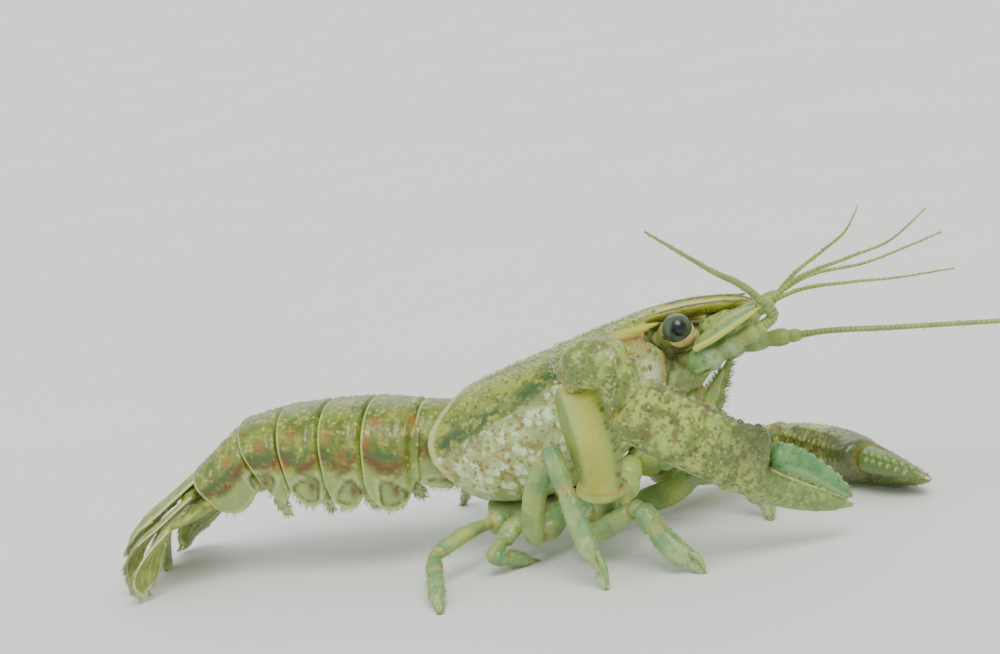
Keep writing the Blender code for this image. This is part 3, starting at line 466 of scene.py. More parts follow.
def carapace_paint():
    p = Paint("carapace_shell", 0.44, Subsurface_Weight=0.1, Coat_Weight=0.12, **HORN)
    coarse, fine = p.noise(0.35), p.noise(2.6, 5)
    back = p.layers(p.mix(p.between(coarse, 0.4, 0.58), (120, 120, 60), (158, 154, 80)),
                    ((88, 84, 40), 0.75, p.spots(1.5, 0.55, 0.35)),
                    ((204, 194, 130), 0.7, p.spots(2.1, 0.45, 0.55)))
    flank = p.layers(p.mix(p.patch(0.38, 0.62, 0.5, 4), (186, 188, 146), (162, 159, 112)),
                     ((146, 116, 74), 0.75, p.patch(0.5, 0.6, 0.7, 4, 0.6, 0.7)),
                     ((230, 232, 216), 0.8, p.spots(0.95, 0.6, 0.25, 0.9)),
                     ((122, 88, 60), 0.7, p.spots(1.5, 0.42, 0.5, 0.8)))
    worn = p.sums("ADD", p.field("low"), p.times(p.sums("SUBTRACT", coarse, 0.5), 0.9))
    cheek = p.layers(p.mix(p.patch(0.4, 0.6, 0.9, 4), (152, 150, 88), (156, 128, 76)),
                     ((94, 70, 42), 0.8, p.spots(1.3, 0.5, 0.45)))
    wall = p.mix(p.patch(0.42, 0.56, 1.0, 4), (120, 116, 74), (160, 160, 116))
    shell = p.layers(p.mix(p.between(worn, 0.35, 0.65), back, flank),
                     (cheek, "cheek", p.patch(0.3, 0.5, 1.1)),
                     ((60, 80, 44), "band", p.patch(0.36, 0.52, 0.9, 4, 0.6, 0.5)),
                     ((128, 78, 44), "brow", p.patch(0.3, 0.55, 1.4)),
                     ((196, 182, 98), "ridge"),
                     ((226, 222, 208), "white", p.patch(0.3, 0.5, 1.6)),
                     ((196, 190, 148), "margin", 0.7),
                     (wall, "wall"),
                     ((70, 64, 36), "line"))
    pits = p.between(p.cells(1.9, 0.2)[0], 0.05, 0.42)
    return p.finish(shell, p.grains(pits, 0.7, fine), 0.07, p.between(fine, -0.3, 1.9))


def abdomen_paint():
    p = Paint("abdomen_plates", 0.4, Subsurface_Weight=0.15, Coat_Weight=0.15, **HORN)
    fine = p.noise(2.4, 5)
    plate = p.layers(p.mix(p.patch(0.38, 0.6, 0.4, 4), (92, 102, 46), (126, 132, 64)),
                     ((170, 160, 88), 0.55, p.patch(0.53, 0.6, 0.75, 4, 0.6, 0.7)),
                     ((136, 94, 50), 0.6, p.patch(0.56, 0.63, 1.0, 4, 0.6, 0.8)),
                     ((82, 92, 42), 0.55, p.spots(1.0, 0.55, 0.4)),
                     ((190, 186, 122), 0.6, p.spots(1.6, 0.45, 0.55)),
                     ((160, 166, 118), "low", 0.6),
                     ((70, 88, 50), "shade", p.patch(0.34, 0.5, 0.7, 4)),
                     ((104, 60, 32), "stripe", p.patch(0.36, 0.52, 0.8, 4, 0.6, 0.4)),
                     ((150, 98, 50), "spot", p.patch(0.3, 0.5, 1.2)),
                     ((84, 82, 42), "ring", p.patch(0.28, 0.5, 1.0)),
                     ((204, 200, 158), "halo", 0.45),
                     ((98, 66, 38), "mark", p.patch(0.3, 0.45, 1.3)),
                     ((206, 204, 150), "edge", 0.75))
    return p.finish(plate, p.grains(p.cells(2.0, 0.3)[0], 0.6, fine), 0.05, p.between(fine, -0.3, 2.0))


def fan_paint():
    p = Paint("tail_fan_plates", 0.42, Subsurface_Weight=0.2, Coat_Weight=0.12, **HORN)
    plate = p.layers(p.mix(p.patch(0.36, 0.62, 0.5, 4), (126, 130, 68), (164, 162, 98)),
                     ((98, 98, 52), 0.6, p.spots(1.1, 0.5, 0.4)),
                     ((188, 178, 110), "rib", 0.5),
                     ((210, 204, 164), "edge"))
    return p.finish(plate, p.noise(2.4, 5), 0.05)


def claw_paint():
    p = Paint("claw_shell", 0.4, Subsurface_Weight=0.08, Coat_Weight=0.18, **HORN)
    fine = p.noise(2.2, 5)
    shell = p.layers(p.mix(p.patch(0.42, 0.56, 0.5, 4, 0.6), (114, 122, 66), (166, 168, 104)),
                     ((108, 88, 52), 0.85, p.patch(0.5, 0.6, 0.65, 5, 0.65, 0.8)),
                     ((80, 98, 60), 0.7, p.patch(0.56, 0.64, 1.1, 4, 0.6, 0.8)),
                     ((76, 70, 42), 0.7, p.spots(1.7, 0.42, 0.45)),
                     ((186, 180, 124), 0.7, p.spots(2.0, 0.42, 0.6)),
                     ((84, 78, 44), "crest", 0.6),
                     ((196, 186, 112), "knob", 0.6),
                     ((74, 78, 48), "dusk", 0.85),
                     ((178, 178, 104), "ring", p.patch(0.44, 0.6, 0.9, 4)),
                     ((128, 146, 100), "fresh", 0.6),
                     ((92, 100, 62), "fresh", p.spots(1.5, 0.5, 0.35), 0.7),
                     ((190, 146, 84), "joint", 0.6),
                     ((222, 218, 186), "bite"))
    return p.finish(shell, p.grains(p.cells(1.7, 0.3)[0], 0.7, fine), 0.07, p.between(fine, -0.4, 2.0))


def finger_paint():
    p = Paint("claw_finger_horn", 0.34, Subsurface_Weight=0.12, Coat_Weight=0.25, **HORN)
    horn = p.layers(p.mix(p.patch(0.38, 0.62, 0.6, 4), (88, 126, 84), (114, 148, 100)),
                    ((66, 96, 62), 0.6, p.spots(1.6, 0.5, 0.4)),
                    ((152, 178, 140), "strip"),
                    ((104, 112, 62), "dull", p.patch(0.2, 0.5, 0.5)),
                    ((164, 178, 122), "knob", 0.6),
                    ((224, 222, 192), "bite"),
                    ((182, 142, 86), "tip"))
    return p.finish(horn, p.noise(2.2, 5), 0.05)


def limb_paint():
    p = Paint("limb_horn", 0.33, Subsurface_Weight=0.25, Coat_Weight=0.3, **HORN)
    bare = p.sums("SUBTRACT", 1.0, p.field("olive"))
    horn = p.layers(p.mix(p.patch(0.38, 0.62, 0.35, 3), (112, 140, 104), (158, 168, 116)),
                    ((194, 196, 126), "olive"),
                    # shade: a dark olive, painted shade down the back edge of the merus; also laid over the
                    # merus's real dark strip and the short limb at the maxilliped's root
                    ((112, 124, 66), "shade"),
                    ((212, 192, 98), "glow", 0.75),
                    ((184, 190, 162), "pale", 0.6),
                    ((98, 102, 56), "mottle", p.spots(1.3, 0.55, 0.3)),
                    ((112, 134, 100), p.spots(1.1, 0.5, 0.45), bare, 0.4),
                    ((204, 168, 96), "joint", 0.5),
                    ((206, 140, 70), "seam"),
                    ((222, 206, 146), "knob", 0.8))
    return p.finish(horn, p.noise(2.4, 5), 0.035)


def feeler_paint():
    p = Paint("feeler_rings", 0.45, Subsurface_Weight=0.12, Coat_Weight=0.08, **HORN)
    horn = p.layers(p.mix(p.patch(0.38, 0.62, 0.4), (144, 152, 92), (172, 172, 110)),
                    ((132, 150, 104), "green", 0.85),
                    ((112, 138, 84), "moss"),
                    ((98, 96, 50), "mottle", p.spots(1.5, 0.55, 0.3)),
                    # pale: painted highlight, a bluish white laid in patches where a mesh asks for it (the
                    # antenna bases)
                    ((204, 212, 198), "pale", p.patch(0.4, 0.55, 1.2)),
                    ((206, 198, 116), "stripe", 0.95),
                    ((84, 92, 48), "seam", 0.6),
                    ((206, 156, 92), "joint"))
    return p.finish(horn, p.noise(2.6, 4), 0.03)


def cornea_paint():
    p = Paint("cornea_gloss", 0.2, Specular_IOR_Level=0.35, Coat_Weight=0.25, Coat_Roughness=0.06)
    # The grey-olive round the dark pupil is partly the eye's own colour and partly painted reflection, the
    # grey ring of reflection round the eye
    eye = p.layers(p.mix(p.patch(0.35, 0.65, 0.8), (66, 74, 62), (84, 90, 74)),
                   ((20, 23, 24), "pupil"),
                   ((64, 58, 44), "rim"))
    facets = p.add("TexVoronoi", Vector=p.place, Scale=11 / MM)
    return p.finish(eye, facets.outputs["Distance"], 0.006)


def stalk_paint():
    p = Paint("eyestalk_skin", 0.5, Subsurface_Weight=0.3, **HORN)
    skin = p.layers(p.mix(p.patch(0.35, 0.65, 0.9), (218, 196, 148), (228, 176, 122)),
                    ((120, 92, 56), 0.5, p.spots(2.6, 0.4, 0.6)),
                    (p.mix(p.spots(1.8, 0.5, 0.4), (128, 122, 70), (84, 74, 44)), "root"))
    return p.finish(skin, p.noise(3.0, 4), 0.03)


def underside_paint():
    p = Paint("underside_skin", 0.48, Subsurface_Weight=0.25, **HORN)
    skin = p.layers(p.mix(p.patch(0.36, 0.62, 0.5, 4), (196, 194, 148), (172, 182, 136)),
                    ((214, 206, 174), 0.5, p.spots(1.0, 0.5, 0.5)),
                    ((132, 112, 70), "blotch", p.patch(0.4, 0.55, 1.0, 4)),
                    ((206, 156, 104), "joint", 0.7))
    return p.finish(skin, p.noise(2.0, 5), 0.05)


def hair_paint(name, rough, pale, dark):
    p = Paint(name, rough, Subsurface_Weight=0.1, **HORN)
    return p.finish(p.mix(p.patch(0.35, 0.65, 0.8), pale, dark))


carapace_shell = carapace_paint()
abdomen_plates = abdomen_paint()
tail_fan_plates = fan_paint()
claw_shell = claw_paint()
finger_horn = finger_paint()
limb_horn = limb_paint()
feeler_rings = feeler_paint()
cornea_gloss = cornea_paint()
eyestalk_skin = stalk_paint()
underside_skin = underside_paint()
setae_fringe = hair_paint("setae_fringe", 0.6, (206, 200, 160), (176, 168, 122))
# Near white: the fuzz's own pale colour, and partly painted highlight, the fuzz along the back standing in
# for highlights on its outline
pale_fuzz = hair_paint("pale_fuzz", 0.7, (238, 236, 222), (204, 200, 172))


# Carapace

# Along x: the back's height, the lower edge's height and the half width
back_line = profile(((-3.0, 16.1), (0.0, 17.3), (3.4, 18.5), (6.9, 19.6), (10.9, 20.7), (15.9, 22.2),
                     (20.3, 23.2), (26.6, 23.95), (30.2, 23.8), (32.9, 23.2)))
low_margin = profile(((-3.0, 8.4), (1.3, 6.0), (4.0, 5.5), (8.0, 5.7), (12.0, 6.7), (16.0, 8.7), (20.0, 11.7),
                      (24.0, 15.0)))
half_width = profile(((-3.0, 5.4), (0.0, 5.9), (4.0, 6.7), (8.0, 7.1), (12.0, 7.0), (16.0, 6.4), (20.0, 5.5),
                      (24.0, 4.5)))
# By degrees from the top: x of the rear edge, and how far the groove and the front edge lie ahead of
# their own x
rear_edge = profile(((0, 0), (30, -1.2), (62, -2.7), (90, -2.9), (115, -1.9), (140, 0.2), (180, 1.6)))
groove = profile(((0, 0), (30, 0.5), (60, 1.9), (90, 3.9), (120, 6.6), (150, 8.6), (180, 9.2)))
front_edge = profile(((0, -0.6), (28, -1.0), (45, -1.3), (60, -0.7), (76, 0.7), (95, 1.0), (120, 0.4),
                      (150, -0.9), (180, -1.2)))
# The widest line's share of the height, and the powers that round the cross-section above and below it
WAIST = 0.52
SIDE_POWER = (0.92, 0.72)
RISE_POWER = (0.95, 0.72)
FUSING_VOXEL = 0.15


def shell_middle(x, grow=0.0):
    """The top, the bottom and the widest line's height of the carapace's cross-sections."""
    top, low = back_line(x) + grow, low_margin(x) - grow
    return top, low, low + WAIST * (top - low)


def shell_point(x, degrees, grow=0.0):
    """Points on the carapace: degrees from the top, round the left side, to 180 underneath."""
    top, low, middle = shell_middle(x, grow)
    a = np.radians(degrees)
    up = np.cos(a)
    side = np.sign(np.sin(a)) * np.abs(np.sin(a)) ** np.where(up > 0, *SIDE_POWER)
    z = np.where(up >= 0, middle + (top - middle) * np.abs(up) ** RISE_POWER[0],
                 middle - (middle - low) * np.abs(up) ** RISE_POWER[1])
    return np.stack([x + 0 * z, (half_width(x) + grow) * side, z], axis=-1)


def shell_degrees(points):
    """The degrees from the top at which points lie round the carapace."""
    x, y, z = points.T
    top, low, middle = shell_middle(x)
    rise = np.where(z > middle, ((z - middle) / (top - middle)).clip(0, 1) ** (1 / RISE_POWER[0]),
                    -((middle - z) / (middle - low)).clip(0, 1) ** (1 / RISE_POWER[1]))
    reach = (np.abs(y) / half_width(x)).clip(0, 1) ** np.where(rise > 0, 1 / SIDE_POWER[0], 1 / SIDE_POWER[1])
    return np.degrees(np.arctan2(reach, rise))


def rostrum_rows():
    """The flat beak between the eyes, hollowed above between two raised edges."""
    half = profile(((ROSTRUM_ROOT, 2.9), (23.0, 2.75), (27.0, 2.2), (29.8, 1.6), (30.9, 1.0),
                    (ROSTRUM_TIP, 0.22)))
    deep = profile(((ROSTRUM_ROOT, 2.2), (24.0, 1.5), (29.0, 1.1), (ROSTRUM_TIP, 0.5)))
    x = np.linspace(ROSTRUM_ROOT, ROSTRUM_TIP, 60)[:, None]
    across = np.linspace(-1, 1, 25)[None, :]
    w, top = half(x), back_line(x)
    hollow = np.minimum(0.45, w * 0.35) * smooth_step(np.abs(across), 0.86, 0.35)
    upper = np.stack([x + 0 * across, w * across,
                      top - hollow - 0.35 * smooth_step(np.abs(across), 0.88, 1.0)], -1)
    under = np.linspace(0.94, -0.94, 17)[None, :]
    belly = deep(x) * (1 - np.abs(under) ** 2.6) + 0.35
    lower = np.stack([x + 0 * under, w * under * 0.97, top - belly], -1)
    return np.concatenate([upper, lower], axis=1)


def fused(skin, voxel):
    """The outer surface of a skin's overlapping forms: points in millimetres, their normals and the faces."""
    mesh = bpy.data.meshes.new("fusing")
    mesh.from_pydata(np.concatenate(skin.points).tolist(), [], skin.faces)
    holder = added("fusing", mesh)
    remesh = holder.modifiers.new("one_skin", "REMESH")
    remesh.mode = "VOXEL"
    remesh.voxel_size = voxel
    soften = holder.modifiers.new("soften", "SMOOTH")
    soften.factor = 0.5
    soften.iterations = 3
    result = bpy.data.meshes.new_from_object(holder.evaluated_get(bpy.context.evaluated_depsgraph_get()))
    points, normals = np.zeros((2, len(result.vertices) * 3))
    result.vertices.foreach_get("co", points)
    result.vertex_normals.foreach_get("vector", normals)
    faces = [list(face.vertices) for face in result.polygons]
    bpy.data.objects.remove(holder, do_unlink=True)
    for used in (mesh, result):
        bpy.data.meshes.remove(used)
    return points.reshape(-1, 3), normals.reshape(-1, 3), faces


def carapace_form():
    """The overlapping forms of the carapace: vault and beak, and the spines and ridges on each side."""
    form = Skin()
    degrees = np.linspace(0, 360, 181)[:-1]
    turn = np.minimum(degrees, 360 - degrees)
    share = np.linspace(0, 1, 140)[:, None]
    start, end = rear_edge(turn), ORBIT + front_edge(turn)
    form.tube(shell_point(start + (end - start) * share, degrees + 0 * share))
    form.tube(rostrum_rows())
    tooth, eave = float(back_line(29.9)) - 0.35, float(back_line(21.6))
    for side in (-1, 1):
        form.spine((29.0, side * 1.3, tooth), (31.3, side * 1.75, tooth + 0.15), 0.42)
        crest = [(x, side * y, float(back_line(x)) - drop)
                 for x, y, drop in ((14.8, 3.0, 0.85), (18.5, 3.3, 0.95), (22.0, 3.5, 1.1))]
        form.limb(crest, ((0, 0.2), (0.5, 0.36), (1, 0.42)), sides=16)
        form.spine((21.4, side * 3.45, eave - 1.05), (23.4, side * 3.72, eave - 0.65), 0.4)
        form.spine((22.0, side * 4.3, 14.6), (24.2, side * 4.55, 14.75), 0.4)
        for angle in (58, 68, 78):
            x = GROOVE_TOP + groove(angle)
            form.spine(shell_point(x + 0.2, side * angle, -0.25), shell_point(x + 1.5, side * angle, 0.5),
                       0.3)
    return form


def carapace_marks(points, depth, angle, from_groove):
    """The values painted on the carapace: band, flank, cheek, brow, ridges, outlines and inner wall."""
    x, y, z = points.T
    wide = np.abs(y)
    edge_height = back_line(x) - z
    band_line = 13.55 + 0.465 * x - np.maximum(x - 12, 0) * 0.6
    strength = smooth_step(x, -2.6, -1.0) * (1 - 0.7 * bump(x, 6.3, 0.9))
    strength = strength * (1 - 0.45 * smooth_step(x, 11.2, 12.5))
    ridge = bump(edge_height, 0.95, 0.36) * smooth_step(x, 15.5, 17) * smooth_step(x, 23, 22.3) * (wide > 2.5)
    beak_ridge = bump(edge_height, 0.5, 0.26) * smooth_step(x, 20, 21.5) * (wide > 0.3)
    line = bump(x, ORBIT + front_edge(angle) - 0.12, 0.12) * (angle > 50)
    line = line + 0.8 * bump(edge_height, 0.12, 0.12) * smooth_step(x, 22, 23)
    line = np.maximum(line, 0.45 * bump(from_groove, 0, 0.2) * (angle < 110))
    wall = smooth_step(0.985 - depth, 0, 0.03) * smooth_step(x, 20, 20.6) * smooth_step(edge_height, 1.5, 1.9)
    head = smooth_step(from_groove, 0.2, 1.2)
    return dict(band=bump(z, band_line, 1.3) * strength * smooth_step(20.5 - x, 0, 2) * (angle < 100),
                low=smooth_step(band_line - z, 0.2, 1.6),
                cheek=(head * smooth_step(x, 15, 18) * smooth_step(22.4 - z, 0, 0.6)
                       * smooth_step(z, 16.4, 17.8)),
                brow=bump(z, 21.55, 0.42) * smooth_step(x, 17.4, 18.6) * (wide > 2.4),
                ridge=np.maximum(ridge, beak_ridge),
                white=bump(np.hypot(x - 21.6, (z - 18.3) * 0.8), 0, 1.1) * (wide > 3),
                wall=wall, line=line * (1 - wall))


def build_carapace():
    points, normals, faces = fused(carapace_form(), FUSING_VOXEL)
    x, y, z = points.T
    angle = shell_degrees(points)
    from_groove = x - (GROOVE_TOP + groove(angle))
    from_rear = x - rear_edge(angle)
    crease = bump(from_groove, 0, 0.34) * smooth_step(118 - angle, 0, 30)
    gill_line = bump(np.abs(y), 0.9 + 0.015 * (x - 4) ** 2, 0.28) * smooth_step(GROOVE_TOP - x, 0, 1)
    rim = smooth_step(from_rear, 1.05, 0.7) * smooth_step(from_rear, 0.0, 0.3)
    lumps = np.sin(x * 5.1 + np.sin(y * 4.3) * 1.7) * np.sin(z * 4.7 + np.sin(x * 3.9) * 1.3)
    lumps = lumps * np.sin(y * 4.9 + 1) * smooth_step(ROSTRUM_TIP - x, 9.5, 11.5)
    lifted = points + normals * (-0.34 * crease - 0.1 * gill_line + 0.07 * rim + 0.035 * lumps)[:, None]
    core = np.stack([x, 0 * y, shell_middle(x)[2]], -1)
    depth = np.linalg.norm(lifted - core, axis=1) / np.linalg.norm(shell_point(x, angle) - core, axis=1)
    skin = Skin()
    skin.add(lifted, faces, margin=rim + 0.6 * smooth_step(angle, 118, 140),
             **carapace_marks(points, depth, angle, from_groove))
    skin.make("carapace_skin", "carapace", carapace_shell, "thorax", "head")


# How many hairs, how far round from the top, and from which x on: without one, they stand along the groove
FUZZ = ((860, 60, None), (900, 34, 0.2), (260, 100, 2.0), (420, 12, 0.2))


def build_fuzz():
    """Short pale fuzz on the carapace, thickest along the groove across it and along the back."""
    fuzz = Coat()
    for count, spread, x_from in FUZZ:
        angle = chance.uniform(-spread, spread, count)
        if x_from is None:
            x = GROOVE_TOP + groove(np.abs(angle)) + 0.3 * chance.normal(size=count)
            long = chance.uniform(0.25, 0.6, (count, 1))
        else:
            x = chance.uniform(x_from, 20.0, count)
            long = chance.uniform(0.2, 0.5, (count, 1))
        roots = shell_point(x, angle)
        out = unit(shell_point(x, angle, 0.3) - roots)
        ways = unit(out + np.array([0.5, 0, 0]) + 0.35 * chance.normal(size=roots.shape))
        fuzz.add(roots, ways * long, (x + 1) / 26, (angle + 120) / 240)
    fuzz.make("carapace_setae", "carapace", 0.036, pale_fuzz)


# Abdomen

# Points round half a plate: over its vault and down its side lobe
VAULT_STEPS = 26
LOBE_STEPS = 12
LOW_EDGE = VAULT_STEPS + LOBE_STEPS - 1
SPOTS = ((-4.6, 15.5), (-8.3, 15.8), (-9.3, 14.1), (-13.8, 15.3), (-17.6, 15.7), (-21.4, 14.9), (-25.6, 13.4),
         (-2.0, 14.6), (-12.2, 13.2), (-19.0, 12.6))
RINGS = ((-2.6, 8.0), (-7.6, 8.4), (-12.0, 8.9), (-16.6, 9.8), (-21.8, 10.7))
EDGE_HAIRS = 70
BACK_HAIRS = 60


def segment_line(index):
    """Where a segment's back starts, and the way to where the next one starts."""
    front, rear = SEGMENTS[index], SEGMENTS[index + 1]
    return np.array([front[0], 0, front[1]]), np.array([rear[0] - front[0], 0, rear[1] - front[1]])


def segment_rows(index, shares, shrink):
    """Rows of one segment at shares of its length, drawn in by shrink, and how far down each point is."""
    front, rear = SEGMENTS[index], SEGMENTS[index + 1]
    start, way = segment_line(index)
    along = unit(way)
    tilt_front = along if index == 0 else unit(unit(segment_line(index - 1)[1]) + along)
    tilt_rear = along if index == LAST_SEGMENT else unit(along + unit(segment_line(index + 1)[1]))
    t = np.asarray(shares, float)[:, None]
    level = np.clip(t, 0, 1)
    forward = unit(tilt_front * (1 - level) + tilt_rear * level)
    down = np.stack([-forward[:, 2], 0 * forward[:, 0], forward[:, 0]], -1)
    wide = front[2] + (front[3] - front[2]) * level
    belly = front[4] + (rear[4] - front[4]) * level
    lobe = np.sin(np.pi * np.clip((t + 0.04) / 1.08, 0.02, 0.98)) ** 0.45
    hang = belly + 0.5 + (front[5] - belly - 0.5) * lobe
    shoulder = belly * 0.72
    a = np.radians(np.linspace(0, 90, VAULT_STEPS))
    s = np.linspace(0.08, 1, LOBE_STEPS)
    across = [wide * np.sin(a) ** 0.9, wide * (1 - 0.045 * s ** 1.6),
              wide * 0.955 - np.array([0.12, 0.32, 0.5]),
              (wide * 0.955 - 0.55) + (0.05 * wide - 0.9) * np.array([0.3, 0.7, 1.0]),
              wide * np.array([0.6, 0.3])]
    depth = [shoulder * (1 - np.cos(a) ** 1.05), shoulder + (hang - shoulder) * s,
             hang + np.array([0.12, 0.14, 0.03]), hang + (belly * 0.96 - hang) * np.array([0.35, 0.8, 1.0]),
             belly * np.array([0.98, 1.0])]
    squeeze = np.asarray(shrink, float)[:, None]
    y = np.concatenate(across, axis=1) * (1 - squeeze / wide)
    d = np.concatenate(depth, axis=1) * (1 - 2 * squeeze / hang) + squeeze
    y = np.concatenate([y, -y[:, :0:-1]], axis=1)
    d = np.concatenate([d, d[:, :0:-1]], axis=1)
    rows = (start + way * t)[:, None] + down[:, None] * d[..., None] + np.stack([0 * y, y, 0 * y], -1)
    return rows, d / hang, t + 0 * d


def plate_marks(rows, drop, t):
    """The values painted on an abdominal plate: stripe, spots, rings on the lobes, shade and pale edges."""
    x, y, z = np.moveaxis(rows, -1, 0)
    loose = [np.hypot(x - a, z - b) * (1 + 0.16 * np.sin(3 * np.arctan2(z - b, x - a) + a)) for a, b in RINGS]
    dots = dict(spot=sum(bump(np.hypot(x - a, z - b), 0, 0.62) for a, b in SPOTS),
                ring=sum(bump(away, 1.3, 0.24) for away in loose),
                halo=sum(bump(away, 1.75, 0.2) for away in loose),
                mark=sum(bump(np.hypot(x - a - 0.5, (z - b - 0.35) * 0.7), 0, 0.5) for a, b in RINGS))
    return dict(stripe=bump(drop, 0.56 - 0.02 * np.sin(t * 9), 0.065) * smooth_step(t, 0.05, 0.2),
                shade=bump(drop, 0.45, 0.07) * smooth_step(t, 0.1, 0.35),
                edge=np.maximum(0.8 * smooth_step(t, 0.975, 0.995), smooth_step(drop, 0.95, 0.98)),
                low=smooth_step(drop, 0.62, 0.72),
                **{key: np.minimum(value * (np.abs(y) > 2.5), 1) for key, value in dots.items()})


def build_abdomen():
    plates, belly, fringe = Skin(), Skin(), Coat()
    for index in range(LAST_SEGMENT + 1):
        shares = np.concatenate([[-0.1], np.linspace(-0.09, 1.0, 52), [1.02, 1.035, 1.03, 0.98, 0.9]])
        shrink = 0.62 * smooth_step(shares, 0.17, 0.03) + 0.1 * bump(shares, 0.3, 0.03)
        shrink -= 0.04 * bump(shares, 0.94, 0.05)
        shrink[0], shrink[-5:] = 1.2, (0.03, 0.12, 0.3, 0.5, 1.4)
        rows, drop, t = segment_rows(index, shares, shrink)
        plates.tube(rows, **plate_marks(rows, drop, t))
        for side, column in ((1, LOW_EDGE), (-1, rows.shape[1] - LOW_EDGE)):
            at = chance.integers(8, 50, EDGE_HAIRS), column
            ways = np.tile((-0.5, side * 0.25, -1.0), (EDGE_HAIRS, 1))
            ways[:, 0] += 0.3 * chance.normal(size=EDGE_HAIRS)
            fringe.add(rows[at], grown(ways, 0.35, 0.75), t[at] * 0.9 + 0.05, 0.3 + 0.2 * side)
        at = chance.integers(5, 50, BACK_HAIRS), chance.integers(-7, 8, BACK_HAIRS)
        ways = np.array((-0.5, 0, 1.0)) + 0.4 * chance.normal(size=(BACK_HAIRS, 3))
        fringe.add(rows[at], grown(ways, 0.12, 0.32), t[at] * 0.9 + 0.05, 0.5)
        if 1 <= index < LAST_SEGMENT:
            front, rear = SEGMENTS[index], SEGMENTS[index + 1]
            root = front[0] * 0.65 + rear[0] * 0.35, (front[1] - front[4] + rear[1] - rear[4]) / 2
            for side in (-1, 1):
                build_swimmeret(belly, fringe, *root, side, 5.0 if index > 1 else 3.6)
    plates.make("abdomen_skin", "abdomen", abdomen_plates, *[f"abdomen_{i}" for i in range(1, 7)])
    belly.make("swimmerets", "underside", underside_skin)
    fringe.make("abdomen_setae", "abdomen", 0.035)


def build_swimmeret(belly, fringe, x, z, side, length):
    """A two-bladed swimmeret hanging under the abdomen."""
    knee = (x - 0.2, side * 2.9, z - length * 0.42)
    belly.limb([(x, side * 2.6, z + 0.8), (x - 0.15, side * 2.8, z - length * 0.2), knee],
               ((0, 0.6), (0.5, 0.5), (1, 0.42)), steps=16, sides=16)
    for out, back in ((0.28, 0.0), (-0.32, 0.5)):
        tip = (x + 0.8 - back, side * (2.6 + out), z - length)
        middle = (x + 0.2 - back * 0.4, side * (2.8 + out), z - length * 0.72)
        rows = belly.limb([knee, middle, tip], ((0, 0.25), (0.45, 0.62), (0.8, 0.5), (1, 0.15)),
                          ((0, 0.2), (0.5, 0.16), (1, 0.08)), flat=(1, 0, 0), steps=24, sides=16)
        fringe.scatter(rows, 70, (0.3, 1.0), 0.8, lean=1.6)


# Tail fan

fan_line = spline(((-30.75, 0, 12.2), (-35.2, 0, 9.3), (-38.6, 0, 7.1), (-40.5, 0, 4.8), (-41.0, 0, 2.3),
                   (-40.6, 0, -0.5)))
# Middle lines of the two outer lobes, and which way their width runs
OUTER_KEEL = {"right": ((-31.9, -6.2, 7.9), (-33.8, -7.1, 6.3), (-35.2, -7.6, 4.2), (-35.7, -7.9, 1.5)),
              "left": ((-31.7, 7.0, 6.7), (-34.7, 8.5, 5.0), (-37.4, 9.3, 3.4), (-39.0, 9.4, 1.2))}
OUTER_SPREAD = {"right": (-0.5, -0.66, -0.5), "left": (-0.1, 0.72, -0.6)}
# Where the outer lobe's hinge runs across it, and how much of the fringe stands on each side of a lobe
SEAM = 0.63
SIDE_FRINGE = 0.35


def fan_point(share, drop, y):
    """Points below the top line of the fan, sideways by y."""
    ahead = unit(fan_line(np.minimum(share + 0.02, 1)) - fan_line(np.maximum(share - 0.02, 0)))
    down = np.stack([-ahead[..., 2], 0 * ahead[..., 0], ahead[..., 0]], -1)
    return fan_line(share) + down * np.asarray(drop)[..., None] + np.stack([0 * y, y, 0 * y], -1)


def lobe_half(u, widest, blunt=0.55):
    """Half width of a tail lobe: narrow root, broad middle, round end."""
    rise = 0.55 + 0.45 * np.sin(np.minimum(u / 0.55, 1) * np.pi / 2)
    return widest * rise * np.sqrt(np.maximum(1 - (np.maximum(u - blunt, 0) / (1.0 - blunt)) ** 2, 0.02))


def ribs(u, v):
    """Raised lines running out along a lobe, a cross seam, and fine pleats beyond it."""
    lines = sum(bump(v, middle, 0.07) for middle in (-0.5, 0.0, 0.5)) * smooth_step(0.97 - u, 0, 0.2)
    return lines + 0.25 * np.sin(v * 70) * smooth_step(u, 0.66, 0.76) - 0.9 * bump(u, SEAM, 0.012)


def rim_of(surface, start, count, long):
    """Hairs of a fringe round the far edge of a lobe, from start on one side to start on the other."""
    s = np.sort(chance.uniform(0, 1, count))
    u = start + (1 - start) * np.minimum(np.minimum(s, 1 - s) / SIDE_FRINGE, 1)
    v = np.clip((s - 0.5) / (0.5 - SIDE_FRINGE), -1, 1)
    roots = surface(u, v)
    ways = unit(roots - surface(u - 0.14, v * 0.72)) + 0.1 * chance.normal(size=roots.shape)
    return roots, grown(ways, 0.7, 1.15) * long, u, (v + 1) / 2


def telson(u, v):
    """The middle plate of the fan: straight sides, then a round end."""
    past = smooth_step(u, 0.2, 0.45)
    half = (3.3 + 0.3 * u) * (1 - past) + lobe_half(u, 3.6, 0.72) * past
    return fan_point(0.76 * u, 0.5 + 0.045 * (half * v) ** 2, half * v)


FAN_MARKS = dict(rib=lambda u, v: np.clip(ribs(u, v), 0, 1),
                 edge=lambda u, v: np.maximum(smooth_step(np.abs(v), 0.86, 0.98), smooth_step(u, 0.93, 0.99)))


